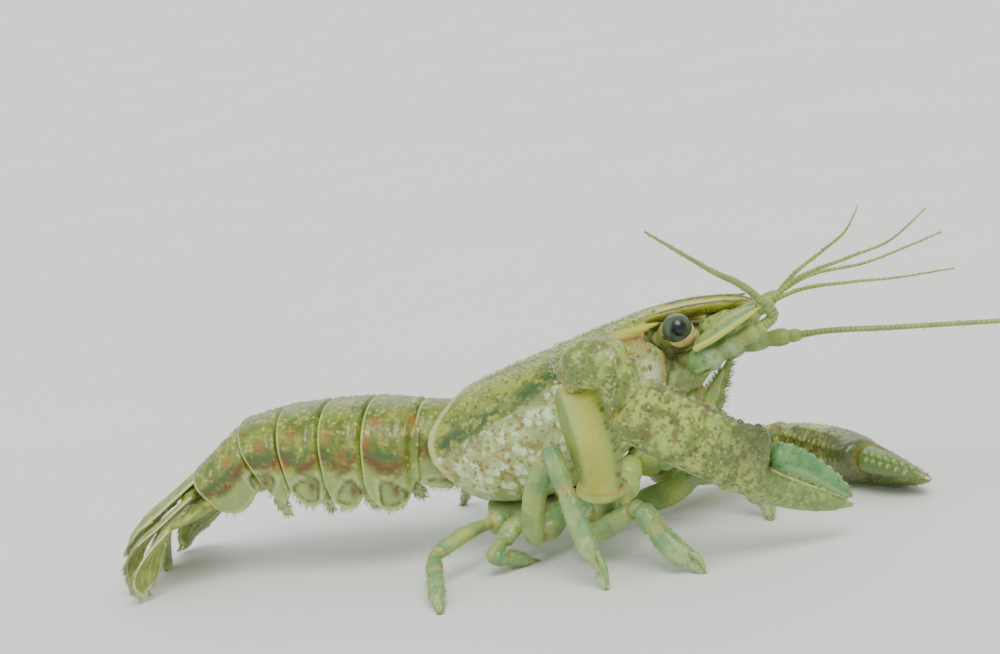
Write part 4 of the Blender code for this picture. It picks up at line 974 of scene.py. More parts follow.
def build_tail():
    fan, fringe = Skin(), Coat()
    fan.plate(telson, lambda u, v: 0.4 - 0.16 * np.abs(v) * u + 0.1 * ribs(u, v), 130, 72, **FAN_MARKS)
    for side in (-1, 1):
        for v, reach in ((0.97, 0.16), (0.8, 0.12)):
            root = telson(np.array(0.5), np.array(side * v))
            fan.spine(root, telson(np.array(0.5 + reach), np.array(side * v * 1.04)), 0.28, edge=1.0)
    fan.limb([(-28.6, 0, 10.6), (-31.0, 0, 9.7), (-33.4, 0, 8.4)], ((0, 3.2), (0.6, 3.6), (1, 2.6)),
             ((0, 1.4), (0.6, 1.2), (1, 0.5)), flat=(0, 1, 0), sides=40)
    fringe.add(*rim_of(telson, 0.55, 420, 1.1))
    for side, name in SIDES:
        build_lobes(fan, fringe, side, OUTER_KEEL[name], np.array(OUTER_SPREAD[name]))
    nodes = [f"uropod_{name}_{part}" for side, name in SIDES for part in ("base", "inner", "outer")]
    fan.make("tail_fan_skin", "tail_fan", tail_fan_plates, "telson", *nodes)
    fringe.make("tail_setae", "tail_fan", 0.045)


def build_lobes(fan, fringe, side, keel, spread):
    """The inner and the outer lobe of one side of the fan, and the base that carries them."""
    keel_line = spline(keel)

    def inner(u, v):
        half = lobe_half(u, 2.6)
        middle = 3.5 + 0.5 * np.sin(u * np.pi / 2)
        return fan_point(0.04 + 0.965 * u, 2.0 + 0.04 * (half * v) ** 2, side * (middle + half * v))

    def outer(u, v):
        return keel_line(u) + spread * (lobe_half(u, 2.9) * v)[..., None]

    for lobe in (inner, outer):
        fan.plate(lobe, lambda u, v: 0.3 - 0.05 * np.abs(v) + 0.08 * ribs(u, v), 110, 60, **FAN_MARKS)
    for v in np.linspace(-0.97, 0.97, 9):
        root, ahead = outer(np.array(SEAM), np.array(v)), outer(np.array(SEAM + 0.07), np.array(v * 1.03))
        long, thick = (1.3, 0.2) if abs(v) > 0.9 else (0.6, 0.13)
        fan.spine(root, root + (ahead - root) * long, thick, edge=1.0)
    root = np.array(keel[0])
    fan.limb([(-28.9, side * 2.6, 8.9), (-30.4, side * 4.5, 8.1),
              root + unit(np.array(keel[1]) - root) * 0.9],
             ((0, 1.1), (0.5, 1.35), (0.8, 1.25), (1, 0.9)), ((0, 0.75), (0.5, 0.62), (1, 0.3)),
             flat=(0, 1, 0), blunt=(0.5, 0.9), sides=40, rib=bands(0.85, width=0.1, most=0.6))
    fringe.add(*rim_of(inner, 0.45, 420, 1.1))
    fringe.add(*rim_of(outer, 0.45, 420, 1.0))


# Head

def build_eyes():
    for name, (side, centre) in EYES.items():
        eye = np.array(centre)
        socket = np.array([eye[0] - 2.0 + 0.5 * (side > 0), side * 3.6, eye[2] - 1.2])
        toward = unit(eye - socket)
        beside = unit(np.cross(toward, (0, 0, 1)))
        above = np.cross(beside, toward)
        tilt = np.linspace(-np.pi / 2 + 0.02, np.pi / 2 - 0.02, 70)[:, None]
        turn = np.linspace(0, 2 * np.pi, 97)[None, :-1]
        round_about = beside * np.cos(turn)[..., None] + above * np.sin(turn)[..., None]
        ball = toward * np.sin(tilt)[..., None] + round_about * np.cos(tilt)[..., None]
        ball = ball * (EYE_RADIUS * (1 + 0.004 * np.sin(turn * 30) * np.sin(tilt * 40)))[..., None]
        cornea = Skin()
        # pupil: the dark centre, facing out to each side; the grey-olive round it is partly painted
        # reflection
        cornea.tube(eye + ball, rim=smooth_step(tilt, 0.12, -0.15),
                    pupil=smooth_step(unit(ball) @ unit(np.array((0.3, side * 0.93, 0.2))), 0.74, 0.92))
        cornea.make(f"cornea_{name}", "cornea", cornea_gloss, f"eye_{name}")
        stalk = Skin()
        stalk.limb([socket - toward * 0.8, socket + toward * 0.4, eye - toward * 0.62],
                   ((0, 1.0), (0.35, 0.95), (0.7, 1.25), (1, 1.45)), steps=40, sides=48, blunt=(0.4, 0.35),
                   relief=lambda share, turn: 0.04 * np.sin(share * 34) * smooth_step(share, 0.6, 0.3),
                   root=lambda share: 1 - 0.5 * smooth_step(share, 0.9, 1.0))
        stalk.tube(eye + np.array((0.12, -side * 0.42, -0.54)) + ball * 0.985)
        stalk.make(f"stalk_{name}", "eyestalk", eyestalk_skin, f"eyestalk_{name}")


# The upper and the lower whip of each antennule
ANTENNULES = {
    "right": (((36.5, -1.7, 24.9), (42.6, -2.4, 26.8), (46.7, -2.9, 28.0), (50.7, -3.4, 30.8)),
              ((36.8, -1.9, 24.0), (42.2, -2.8, 24.4), (46.8, -3.4, 24.4), (52.7, -4.2, 24.8))),
    "left": (((36.4, 1.8, 25.2), (39.4, 2.2, 27.0), (41.7, 2.6, 28.5), (43.3, 3.2, 30.8)),
             ((36.8, 2.0, 24.4), (43.8, 2.7, 25.2), (47.0, 3.0, 26.0), (51.0, 3.4, 27.1))),
}
# The base and the whip of each antenna
ANTENNAE = {
    "right": (((25.4, -4.4, 17.9), (29.6, -4.6, 19.7), (34.0, -4.5, 21.6)),
              ((34.7, -4.5, 22.3), (33.6, -6.0, 24.6), (31.0, -14.0, 29.4), (27.6, -23.0, 35.2))),
    "left": (((25.4, 4.4, 17.6), (30.0, 4.5, 18.0), (35.6, 4.4, 18.2)),
             ((35.95, 4.4, 18.25), (45.4, 5.0, 17.7), (55.2, 6.2, 16.9), (66.0, 9.5, 15.6),
              (76.0, 15.0, 13.6), (83.0, 22.0, 11.0))),
}


def ringed(path, root, tip, pitch):
    """Rows of a whip of many short rings, and how deep in a seam each row lies."""
    rings = int(span_of(spline(path), 200) / pitch)
    radius = ((0, root), (1, tip))

    def seam(share):
        return np.abs(np.cos(share * np.pi * rings)) ** 6

    rows, marks = limb(path, radius, radius, flat=(0.2, 0.1, 1), steps=rings * 5, sides=14,
                       relief=lambda share, turn: -0.13 * (root + (tip - root) * share) * seam(share))
    return rows, seam(marks)


def build_feelers():
    fringe = Coat()
    for side, name in SIDES:
        build_antennule(name, side, fringe)
    for side, name in SIDES:
        build_antenna(name, side, fringe)
        build_scale(name, side, fringe)
    fringe.make("feeler_setae", "feelers", 0.03)


def build_antennule(name, side, fringe):
    """The jointed stem beside the beak, and its two whips."""
    feeler = Skin()
    feeler.limb([(26.4, side * 1.5, 20.9), (31.2, side * 1.5, 21.9), (34.4, side * 1.55, 23.3)],
                ((0, 1.1), (0.2, 1.2), (0.46, 1.1), (0.5, 0.82), (0.55, 0.92), (0.73, 0.8), (0.76, 0.6),
                 (0.8, 0.68), (1, 0.48)), sides=48, steps=70, joint=bands(0.5, 0.76, width=0.016, most=0.2),
                mottle=ramp(0.7, 0.5, most=0.7), relief=lambda share, turn: 0.07 * np.abs(np.cos(turn * 2)))
    for whip, thick in zip(ANTENNULES[name], (0.27, 0.24)):
        rows, seam = ringed([(34.0, side * 1.55, 23.1), *whip], thick, 0.07, 0.5)
        feeler.tube(rows, seam=seam)
        fringe.scatter(rows, 130, (0.1, 1), 0.32, lean=0.5)
    feeler.make(f"antennule_skin_{name}", "feelers", feeler_rings, f"antennule_{name}")


def build_antenna(name, side, fringe):
    """The thick jointed base of an antenna, its spines, and the whip with its stouter root."""
    base, whip = (np.array(points) for points in ANTENNAE[name])
    feeler = Skin()
    feeler.limb(base, ((0, 1.3), (0.2, 1.4), (0.33, 1.25), (0.4, 0.9), (0.45, 1.0), (0.6, 0.95), (0.66, 0.72),
                       (0.7, 0.8), (0.84, 0.74), (0.875, 0.56), (0.9, 0.62), (1, 0.44)),
                ((0, 1.15), (0.2, 1.2), (0.34, 1.1), (0.4, 0.8), (0.5, 0.9), (0.66, 0.7), (0.84, 0.68),
                 (0.875, 0.52), (0.9, 0.58), (1, 0.42)),
                joint=bands(0.4, 0.66, 0.875, most=0.22), moss=ramp(0.35, 0.15, most=0.6),
                # pale: painted highlights in two bands along the antenna base
                pale=lambda share: 0.5 * bump(share, 0.3, 0.12) + 0.4 * bump(share, 0.55, 0.08),
                green=lambda share: 1 - 0.75 * smooth_step(share, 0.3, 0.9), sides=60, steps=90,
                relief=lambda share, turn: (0.09 * np.abs(np.cos(turn * 2.5 + 0.4))
                                            - 0.1 * bump(share, 0.2, 0.02)))
    for ahead, out, up, long in ((0.9, 0.9, -0.2, 1.6), (1.5, 0.7, -0.7, 1.0)):
        feeler.spine(base[0] + (ahead, side * out, up),
                     base[0] + (ahead + long, side * (out + 0.65), up + 0.5), 0.36, green=0.6)
    way = unit(base[2] - base[1])
    if side < 0:
        bend, stout, narrow, thin = whip[0] * 0.45 + whip[1] * 0.55, 0.66, 0.46, 0.46
    else:
        bend, stout, narrow, thin = whip[0] + (1.0, 0, 0), 0.46, 0.32, 0.34
    rows, seam = ringed([base[2] - way * 0.8, whip[0] - way * 0.15, bend], stout, narrow, 0.4)
    feeler.tube(rows, seam=seam * 0.6, green=0.5)
    rows, seam = ringed([base[2] - way * 0.6, *whip], thin, 0.1, 0.5)
    feeler.tube(rows, seam=seam * 0.8, green=0.35)
    fringe.scatter(rows, 260, (0.02, 1), 0.3, lean=0.7)
    feeler.make(f"antenna_skin_{name}", "feelers", feeler_rings, f"antenna_base_{name}", f"antenna_{name}")


def build_scale(name, side, fringe):
    """The leaf beside the antenna: a stiff outer rib ending in a point, and a thin fringed blade."""
    low = 0.0 if side < 0 else 0.6
    root = np.array((26.6, side * (5.6 + low * 0.6), 20.35 - low))
    tip = np.array((33.3, side * 5.5, 23.5 - 1.8 * low))
    along = unit(tip - root)
    across = unit(np.array((0.1, -side * 0.8, 0.4)))

    def blade(u, v):
        half = 1.35 * np.sin(np.pi * np.minimum(0.18 + u * 0.8, 1.0)) ** 0.8 + 0.12
        return root + (tip - root) * u[..., None] + across * (half * (v + 0.3))[..., None]

    leaf = Skin()
    leaf.plate(blade, lambda u, v: (0.16 + 0.2 * bump(v, -0.82, 0.2)) * (1 - 0.25 * u), 80, 40,
               stripe=lambda u, v: np.minimum(bump(v, -0.9, 0.16) + 0.35 * smooth_step(v, 0.2, 0.6), 1),
               green=lambda u, v: 1 - 0.5 * smooth_step(v, -0.4, 0.4),
               mottle=lambda u, v: 0.6 * smooth_step(v, -0.7, -0.3) * smooth_step(0.95 - u, 0, 0.3))
    rib = blade(np.array([0.0, 0.35, 0.7]), np.array([-0.9, -0.92, -0.9]))
    leaf.limb([*rib, tip + along * 0.5 - across * 0.35],
              ((0, 0.34), (0.5, 0.28), (0.85, 0.22), (1, 0.06)), sides=18, stripe=1.0)
    leaf.make(f"scale_{name}", "feelers", feeler_rings, f"antennal_scale_{name}")
    u = np.sort(chance.uniform(0.25, 1.0, 160))
    ways = across + along * 0.9 + 0.12 * chance.normal(size=(len(u), 3))
    fringe.add(blade(u, 0 * u + 0.97), grown(ways, 0.9, 1.4), u, 0.5)


# The face plate along x: half width, lower and upper height
face_wide = profile(((21.3, 4.0), (22.5, 3.9), (23.5, 3.3), (24.6, 2.6), (25.6, 2.15), (26.3, 1.6),
                     (26.8, 0.9), (27.0, 0.3)))
face_low = profile(((21.3, 13.6), (22.5, 13.4), (23.6, 13.8), (24.6, 14.5), (25.6, 15.2), (26.3, 16.0),
                    (27.0, 17.3)))
face_high = profile(((21.3, 20.4), (22.5, 20.3), (23.5, 19.5), (24.6, 19.1), (25.8, 19.1), (26.6, 18.8),
                     (27.0, 18.2)))


def build_mouth():
    turn = np.linspace(0, 2 * np.pi, 97)[:-1]
    x = np.linspace(21.3, 27.0, 60)[:, None]
    flute = 1 - 0.07 * np.abs(np.cos(turn * 2.5)) ** 8 - 0.05 * bump(turn, np.pi, 0.12)
    flute = flute * (1 - 0.05 * bump(x, 24.9, 0.12) - 0.05 * bump(x, 26.0, 0.1))
    middle, half = (face_low(x) + face_high(x)) / 2, (face_high(x) - face_low(x)) / 2
    rows = np.stack([x + 0 * flute, face_wide(x) * np.sin(turn) * flute,
                     middle + half * np.cos(turn) * flute], -1)
    face, jaws = Skin(), Skin()
    face.tube(rows, blotch=0.35 + 0.5 * smooth_step(24.2 - x, 0, 1))
    for side in (-1, 1):
        face.limb(mirrored([(24.6, 1.5, 15.2), (25.5, 1.9, 16.3), (26.1, 1.55, 17.7)], side),
                  ((0, 0.25), (0.5, 0.34), (1, 0.2)), sides=16, joint=0.3)
        face.limb(mirrored([(23.6, 0.5, 13.7), (24.6, 0.95, 14.0), (25.3, 0.5, 14.9)], side),
                  ((0, 0.5), (0.5, 0.85), (1, 0.45)), sides=24, joint=ramp(0.5, 1.0))
        face.limb(mirrored([(22.4, 1.5, 20.0), (24.6, 1.6, 20.3), (26.6, 1.5, 20.7)], side),
                  ((0, 1.1), (0.5, 1.2), (1, 0.8)), sides=30, blotch=0.8)
        face.limb(mirrored([(24.0, 2.6, 18.6), (25.3, 3.1, 18.6), (26.3, 3.3, 17.9)], side),
                  ((0, 0.5), (0.5, 0.6), (1, 0.3)), sides=20, blotch=0.6)
        jaws.limb(mirrored([(20.6, 0.9, 10.3), (22.2, 1.35, 11.4), (23.7, 0.75, 12.8)], side),
                  ((0, 0.8), (0.5, 1.1), (1, 0.75)), ((0, 0.8), (0.5, 1.0), (1, 0.7)), flat=(0, 1, 0),
                  sides=30, joint=ramp(0.85, 1.0))
    face.make("face_skin", "underside", underside_skin, "face_plate")
    jaws.make("jaws_skin", "underside", underside_skin, "jaws")


def build_maxillipeds():
    """The outer mouth limbs, folded up under the head."""
    fringe = Coat()
    for side, name in SIDES:
        way = mirrored([(19.8, 1.6, 7.7), (22.6, 2.1, 9.0), (25.4, 2.55, 11.8), (26.9, 2.75, 14.7),
                        (28.3, 2.5, 17.0)], side)
        arm = Skin()
        rows = arm.limb(way, ((0, 1.1), (0.2, 1.05), (0.4, 1.15), (0.48, 1.0), (0.52, 0.78), (0.57, 0.9),
                              (0.68, 0.92), (0.73, 0.62), (0.78, 0.72), (0.88, 0.5), (1, 0.25)),
                        ((0, 0.8), (0.48, 0.75), (0.52, 0.6), (0.57, 0.7), (0.73, 0.5), (1, 0.3)),
                        flat=(0.5, 0, -1), steps=90, sides=36, joint=bands(0.52, 0.73, 0.87), olive=0.35)
        arm.limb(mirrored([(17.0, 1.2, 9.3), (18.6, 1.5, 8.5), (20.6, 1.7, 8.2)], side),
                 ((0, 0.8), (0.5, 0.95), (1, 0.85)), sides=28, joint=bands(0.55, width=0.03), olive=0.7,
                 shade=0.4)
        for share in np.linspace(0.1, 0.46, 9):
            at = spline(way)(share)
            arm.spine(at + (0.5, -side * 0.75, -0.1), at + (0.75, -side * 1.35, 0.25), 0.17, knob=1.0)
        arm.make(f"maxilliped_skin_{name}", "limb", limb_horn, f"maxilliped_{name}")
        fringe.scatter(rows, 420, (0.05, 0.98), 0.75, lean=0.7, turns=(-0.2, 0.3) if side > 0 else (0.2, 0.7),
                       ruffle=0.35)
    fringe.make("maxilliped_setae", "limb", 0.035)


# Claws

ARMS = {
    "right": dict(side=-1, hip=((17.4, -4.2, 7.6), (16.6, -6.8, 6.0), (15.9, -9.0, 5.4)),
                  merus=((16.1, -10.2, 7.4), (16.8, -13.4, 13.8), (17.0, -16.9, 20.3)),
                  carpus=((16.9, -18.6, 22.9), (19.8, -19.0, 22.7), (22.7, -18.9, 22.5)),
                  wrist=(22.0, -19.0, 18.9), tip=(40.2, -8.2, 3.4), up=(0.35, 0.12, 1.0)),
    "left": dict(side=1, hip=((17.4, 4.2, 7.6), (17.0, 5.6, 6.2), (16.7, 6.7, 5.4)),
                 merus=((17.5, 8.3, 5.1), (19.8, 10.9, 3.9), (22.7, 13.6, 2.7)),
                 carpus=((23.3, 14.3, 2.9), (26.0, 16.4, 3.4), (28.6, 17.7, 4.0)),
                 wrist=(30.2, 17.2, 4.4), tip=(46.4, 3.8, 1.9), up=(-0.5, -0.65, 0.57)),
}
MERUS_WIDE = ((0, 2.15), (0.045, 2.68), (0.08, 2.6), (0.115, 2.32), (0.3, 2.5), (0.55, 2.7),
              (0.85, 2.5), (0.95, 2.2), (1, 2.0))
MERUS_THICK = ((0, 1.6), (0.045, 1.95), (0.08, 1.9), (0.115, 1.62), (0.6, 1.9), (1, 1.7))


def studded(rows, studs):
    """Rows with low rounded knobs raised on them, and how much of a knob each point is. A stud is a point
    near the skin, its radius and its height."""
    normal = unit(np.cross(np.roll(rows, -1, 1) - np.roll(rows, 1, 1), np.gradient(rows, axis=0)))
    outward = rows - rows.mean(axis=1, keepdims=True)
    normal = normal * np.sign((normal * outward).sum(-1, keepdims=True))
    lift, crown = np.zeros((2, *rows.shape[:2]))
    for centre, radius, height in studs:
        swell = np.exp(-(np.linalg.norm(rows - np.asarray(centre), axis=-1) / radius) ** 2.6)
        lift = np.maximum(lift, height * swell)
        crown = np.maximum(crown, smooth_step(swell, 0.45, 0.95))
    return rows + normal * lift[..., None], crown


def build_claws():
    setae = Coat()
    for name, arm in ARMS.items():
        build_hip(name, arm)
        build_merus(name, arm, setae)
        build_wrist(name, arm, setae)
        hand = Hand(arm)
        build_palm(name, hand, setae)
        build_finger(name, hand, setae)
    setae.make("claw_setae", "claw", 0.035)


def build_hip(name, arm):
    """The short pieces between the body and the arm."""
    hip = Skin()
    hip.limb(arm["hip"], ((0, 1.3), (0.42, 1.5), (0.5, 1.15), (0.58, 1.4), (1, 1.6)),
             ((0, 1.2), (0.42, 1.15), (0.5, 1.0), (1, 1.4)), flat=(1, 0, 0), blunt=(0.5, 0.4), sides=32,
             joint=bands(0.5, 0.98, width=0.04), olive=0.75)
    hip.limb(mirrored([(17.1, 1.6, 8.5), (17.3, 3.2, 7.9), (17.2, 4.9, 6.9)], arm["side"]),
             ((0, 1.1), (0.5, 1.35), (1, 1.15)), sides=32, joint=bands(0.45, width=0.03), olive=0.75)
    before, after = np.array(arm["hip"][-1]), np.array(arm["merus"][0])
    hip.limb([before - (after - before) * 0.4, (before + after) / 2, after + (after - before) * 0.4],
             ((0, 1.2), (0.5, 1.3), (1, 1.2)), ((0, 1.1), (1, 1.1)), flat=(1, 0, 0), sides=28, joint=0.35)
    hip.make(f"claw_hip_{name}", "limb", limb_horn, f"cheliped_{name}_hip")


def build_merus(name, arm, setae):
    """The long piece of the arm: a rimmed root, a dark strip with beads in front, and a row of spines."""
    line = spline(arm["merus"])
    rows, marks = limb(arm["merus"], MERUS_WIDE, MERUS_THICK, flat=(1, 0, 0), steps=150, sides=90,
                       blunt=(0.3, 0.35))
    front = unit(np.array((1, -0.35 * arm["side"], 0)))
    beads = [(line(0.1 + 0.055 * k) + front * 2.35 + (0, arm["side"] * off, 0), 0.22, 0.14)
             for k in range(15) for off in (-0.9, 0.9)]
    rows, crown = studded(rows, beads)
    marks = marks[:, None]
    reach = ((rows - rows.mean(axis=1, keepdims=True)) * front).sum(-1)
    strip = smooth_step(reach, 1.15, 1.7) * (marks > 0.11)
    rim = bump(marks, 0.02, 0.012) + bump(marks, 0.105, 0.012) + 0.3 * smooth_step(marks, 0.95, 0.99)
    upper = Skin()
    # shade: painted shade down the back edge of the merus, and less of the same dark olive over the real dark
    # strip in front
    upper.tube(rows, joint=rim, knob=crown * 0.6, olive=0.9, mottle=0.8 * strip,
               glow=bump(((rows - line(0.5)) * front).sum(-1), -0.2, 1.4) * (marks > 0.12),
               seam=0.5 * np.minimum(bump(marks, 0.1, 0.007) + 0.6 * bump(marks, 0.018, 0.01), 1),
               shade=0.8 * smooth_step(-reach, 1.3, 1.8) * smooth_step(marks, 0.1, 0.2) + 0.45 * strip)
    for k, share in enumerate(np.linspace(0.3, 0.84, 7)):
        upper.spine(line(share) + front * 2.0, line(share + 0.04) + front * (3.35 if k % 2 else 2.95), 0.4,
                    knob=1.0, olive=1.0)
    upper.make(f"claw_merus_{name}", "limb", limb_horn, f"cheliped_{name}_merus")
    setae.scatter(rows, 90, (0.1, 0.95), 0.5, lean=0.4)


def build_wrist(name, arm, setae):
    """The short block between arm and hand, with its inner spines and a soft joint at each end."""
    line = spline(arm["carpus"])
    ahead = unit(line(1.0) - line(0.6))
    inner = unit(np.array((0, -arm["side"], 0.3)))
    wrist = Skin()
    path = np.array(arm["carpus"])
    path[0] -= ahead * 0.35
    path[2] += ahead * 0.35
    rows, marks = limb(path, ((0, 1.6), (0.1, 1.95), (0.32, 2.4), (0.7, 2.4), (0.9, 2.05), (1, 1.75)),
                       ((0, 1.6), (0.1, 1.9), (0.5, 2.4), (0.9, 2.15), (1, 1.9)), flat=arm["up"],
                       steps=90, sides=80, blunt=(0.7, 0.5))
    studs = [(rows[i, j], 0.22, 0.09) for i in range(22, 92, 11) for j in range((i // 11) % 2 * 5, 80, 10)]
    rows, crown = studded(rows, studs)
    marks = marks[:, None]
    groove_top = bump(np.arange(80) / 80, 0.06, 0.02) * bump(marks, 0.5, 0.25)
    wrist.tube(rows, knob=crown * 0.8, joint=0.5 * smooth_step(marks, 0.95, 1.0) + 0.5 * groove_top,
               fresh=0.15)
    for share, reach in ((0.2, 2.6), (0.38, 3.15), (0.55, 2.7), (0.72, 3.1)):
        wrist.spine(line(share) + inner * 1.7, line(share) + inner * reach + ahead * 0.8, 0.42, knob=0.8)
    arm_end, hand = np.array(arm["merus"][-1]), np.array(arm["wrist"])
    for start, end, thick, orange in ((arm_end, line(0.1), 1.35, 0.3), (line(0.8), hand, 2.05, 0.0)):
        push = unit(end - start) * 0.9
        wrist.limb([start - push, (start + end) / 2, end + push],
                   ((0, thick * 0.8), (0.5, thick), (1, thick * 0.9)), sides=40, joint=orange,
                   relief=lambda share, turn: 0.04 * np.sin(share * 25) * np.sin(turn * 7))
    wrist.make(f"claw_wrist_{name}", "claw", claw_shell, f"cheliped_{name}_carpus")
    setae.scatter(rows, 70, (0.1, 0.95), 0.4)


# Along the hand: half height, how far its middle lies above the line from wrist to tip, and half thickness
hand_half = profile(((0, 2.2), (0.02, 2.6), (0.08, 3.1), (0.18, 3.3), (0.3, 3.3), (0.45, 3.25), (0.575, 3.1),
                     (0.59, 2.75), (0.605, 2.1), (0.62, 1.85), (0.65, 1.78), (0.8, 1.45), (0.93, 0.85),
                     (1, 0.2)))
hand_shift = profile(((0, -0.4), (0.1, -0.5), (0.3, -0.55), (0.5, -0.5), (0.575, -0.5), (0.59, -0.85),
                      (0.605, -1.5), (0.62, -1.75), (0.65, -1.75), (0.8, -1.3), (0.93, -0.55), (1, 0.0)))
hand_thick = profile(((0, 1.6), (0.15, 2.2), (0.45, 2.5), (0.6, 1.9), (0.8, 1.15), (0.95, 0.5), (1, 0.2)))
FINGER_WIDE = ((0, 1.25), (0.12, 1.3), (0.5, 1.12), (0.85, 0.66), (1, 0.2))
PALM_SIDES = 132
FINGER_SIDES = 72


class Hand:
    """A hand's axes: along towards its tip, up across it, and out towards its outer face."""

    def __init__(self, arm):
        self.side = arm["side"]
        self.wrist = np.array(arm["wrist"])
        reach = np.array(arm["tip"]) - self.wrist
        self.length = np.linalg.norm(reach)
        self.along = unit(reach)
        up = np.array(arm["up"])
        self.up = unit(up - self.along * (up @ self.along))
        self.out = np.cross(self.along, self.up) * -self.side

    def at(self, share, up=0.0):
        return self.wrist + self.along * (share * self.length) + self.up * up

    def skin(self, share, degrees):
        """Points on the palm and its fixed finger, degrees round from the upper edge to the outer face."""
        a = np.radians(degrees)
        share = np.asarray(share, float)
        rise = hand_shift(share) + hand_half(share) * np.cos(a)
        return (self.wrist + self.along * (share * self.length)[..., None] + self.up * rise[..., None]
                + self.out * (hand_thick(share) * np.sin(a))[..., None])


def build_palm(name, hand, setae):
    """Palm with its fixed finger below, rows of knobs and a toothed edge."""
    share = np.concatenate([[0], 0.012 * (1 - np.cos(np.linspace(0.3, np.pi / 2, 6))),
                            np.linspace(0.014, 0.985, 230), [0.993, 1.0]])[:, None]
    degrees = np.linspace(0, 360, PALM_SIDES + 1)[None, :-1]
    rows = hand.skin(share + 0 * degrees, degrees + 0 * share)
    rows[0] = rows[1].mean(axis=0) + (rows[1] - rows[1].mean(axis=0)) * 0.7
    studs = [(hand.skin(first + 0.035 * k, turn), 0.27 if k % 2 else 0.33, 0.13 if k % 2 else 0.27)
             for turn, first, count in ((-34, 0.12, 12), (-4, 0.1, 14), (28, 0.13, 9)) for k in range(count)]
    for count, shares, turns, radius, height in ((60, (0.06, 0.56), (-60, 150), 0.2, 0.07),
                                                 (40, (0.58, 0.95), (40, 320), 0.16, 0.05)):
        drawn = zip(chance.uniform(*shares, count), chance.uniform(*turns, count))
        studs += [(hand.skin(s, t), radius, height) for s, t in drawn]
    studs += [(hand.skin(s, 0.0), 0.22, 0.2) for s in np.linspace(0.66, 0.93, 9)]
    rows, crown = studded(rows, studs)
    around = np.minimum(degrees, 360 - degrees)
    bite = smooth_step(share, 0.6, 0.66) * smooth_step(around, 34, 20)
    joint = 0.5 * bump(share, 0.59, 0.012) * (around < 60) + 0.3 * smooth_step(share, 0.03, 0.0)
    loops = sum(bump(np.linalg.norm(rows - hand.skin(s, t), axis=-1), wide, 0.3)
                for s, t, wide in ((0.09, 78, 1.3), (0.24, 60, 0.95), (0.17, 128, 0.8)))
    palm = Skin()
    palm.tube(rows, knob=crown * (1 - bite), bite=bite, joint=np.minimum(joint, 1), ring=np.minimum(loops, 1),
              fresh=(smooth_step(share, 0.5, 0.8) * smooth_step(around, 20, 60)
                     * (0.8 if hand.side < 0 else 0.35)),
              dusk=bump(share, 0.54, 0.15) * smooth_step(around, 140, 50),
              crest=smooth_step(around, 44, 16) * smooth_step(share, 0.03, 0.2) * (share < 0.6))
    palm.make(f"claw_palm_{name}", "claw", claw_shell, f"cheliped_{name}_palm")
    setae.scatter(rows, 260, (0.05, 0.98), 0.35, lean=0.8)
    share = chance.uniform(0.63, 0.97, 150)
    roots = hand.skin(share, chance.uniform(10, 24, 150) * np.where(chance.random(150) < 0.5, 1, -1))
    setae.add(roots, unit(hand.up * 0.9 + hand.along * 0.5) * 0.45, share, 0.5)


def build_finger(name, hand, setae):
    """The moving finger, with two rows of knobs above and teeth below."""
    path = [hand.at(0.605, 1.3), hand.at(0.8, 1.45), hand.at(0.985, 0.72)]
    rows, marks = limb(path, FINGER_WIDE, ((0, 1.45), (0.5, 1.1), (0.85, 0.6), (1, 0.2)), flat=hand.up,
                       steps=150, sides=FINGER_SIDES, blunt=(0.5, 1.0))
    line, wide_at = spline(path), profile(FINGER_WIDE)
    knobs = [(line(s) + hand.up * wide_at(s) + hand.out * off, 0.27, 0.26)
             for s, off in [(0.14 + 0.06 * k, 0.35 * (-1) ** k) for k in range(13)]]
    knobs += [(line(s) - hand.up * wide_at(s), 0.24, 0.22) for s in np.linspace(0.2, 0.9, 10)]
    rows, crown = studded(rows, knobs)
    marks = marks[:, None]
    below = 180 - np.abs(np.arange(FINGER_SIDES) * 360 / FINGER_SIDES - 180)
    bite = smooth_step(below, 148, 166) * (marks > 0.08)
    finger = Skin()
    finger.tube(rows, knob=crown * (1 - bite), bite=bite, dull=0.8 if hand.side > 0 else 0.0,
                tip=smooth_step(marks, 0.95, 0.99),
                strip=0.75 * smooth_step(below, 98, 116) * smooth_step(marks, 0.1, 0.2))
    finger.make(f"claw_finger_{name}", "claw_finger", finger_horn, f"cheliped_{name}_finger")
    setae.scatter(rows, 120, (0.1, 0.95), 0.35, lean=0.8)
    s = chance.uniform(0.1, 0.95, 130)
    setae.add(line(s) - hand.up * wide_at(s)[:, None] * 0.93,
              unit(-hand.up * 0.9 + hand.along * 0.5) * 0.4, s, 0.5)


# Walking legs

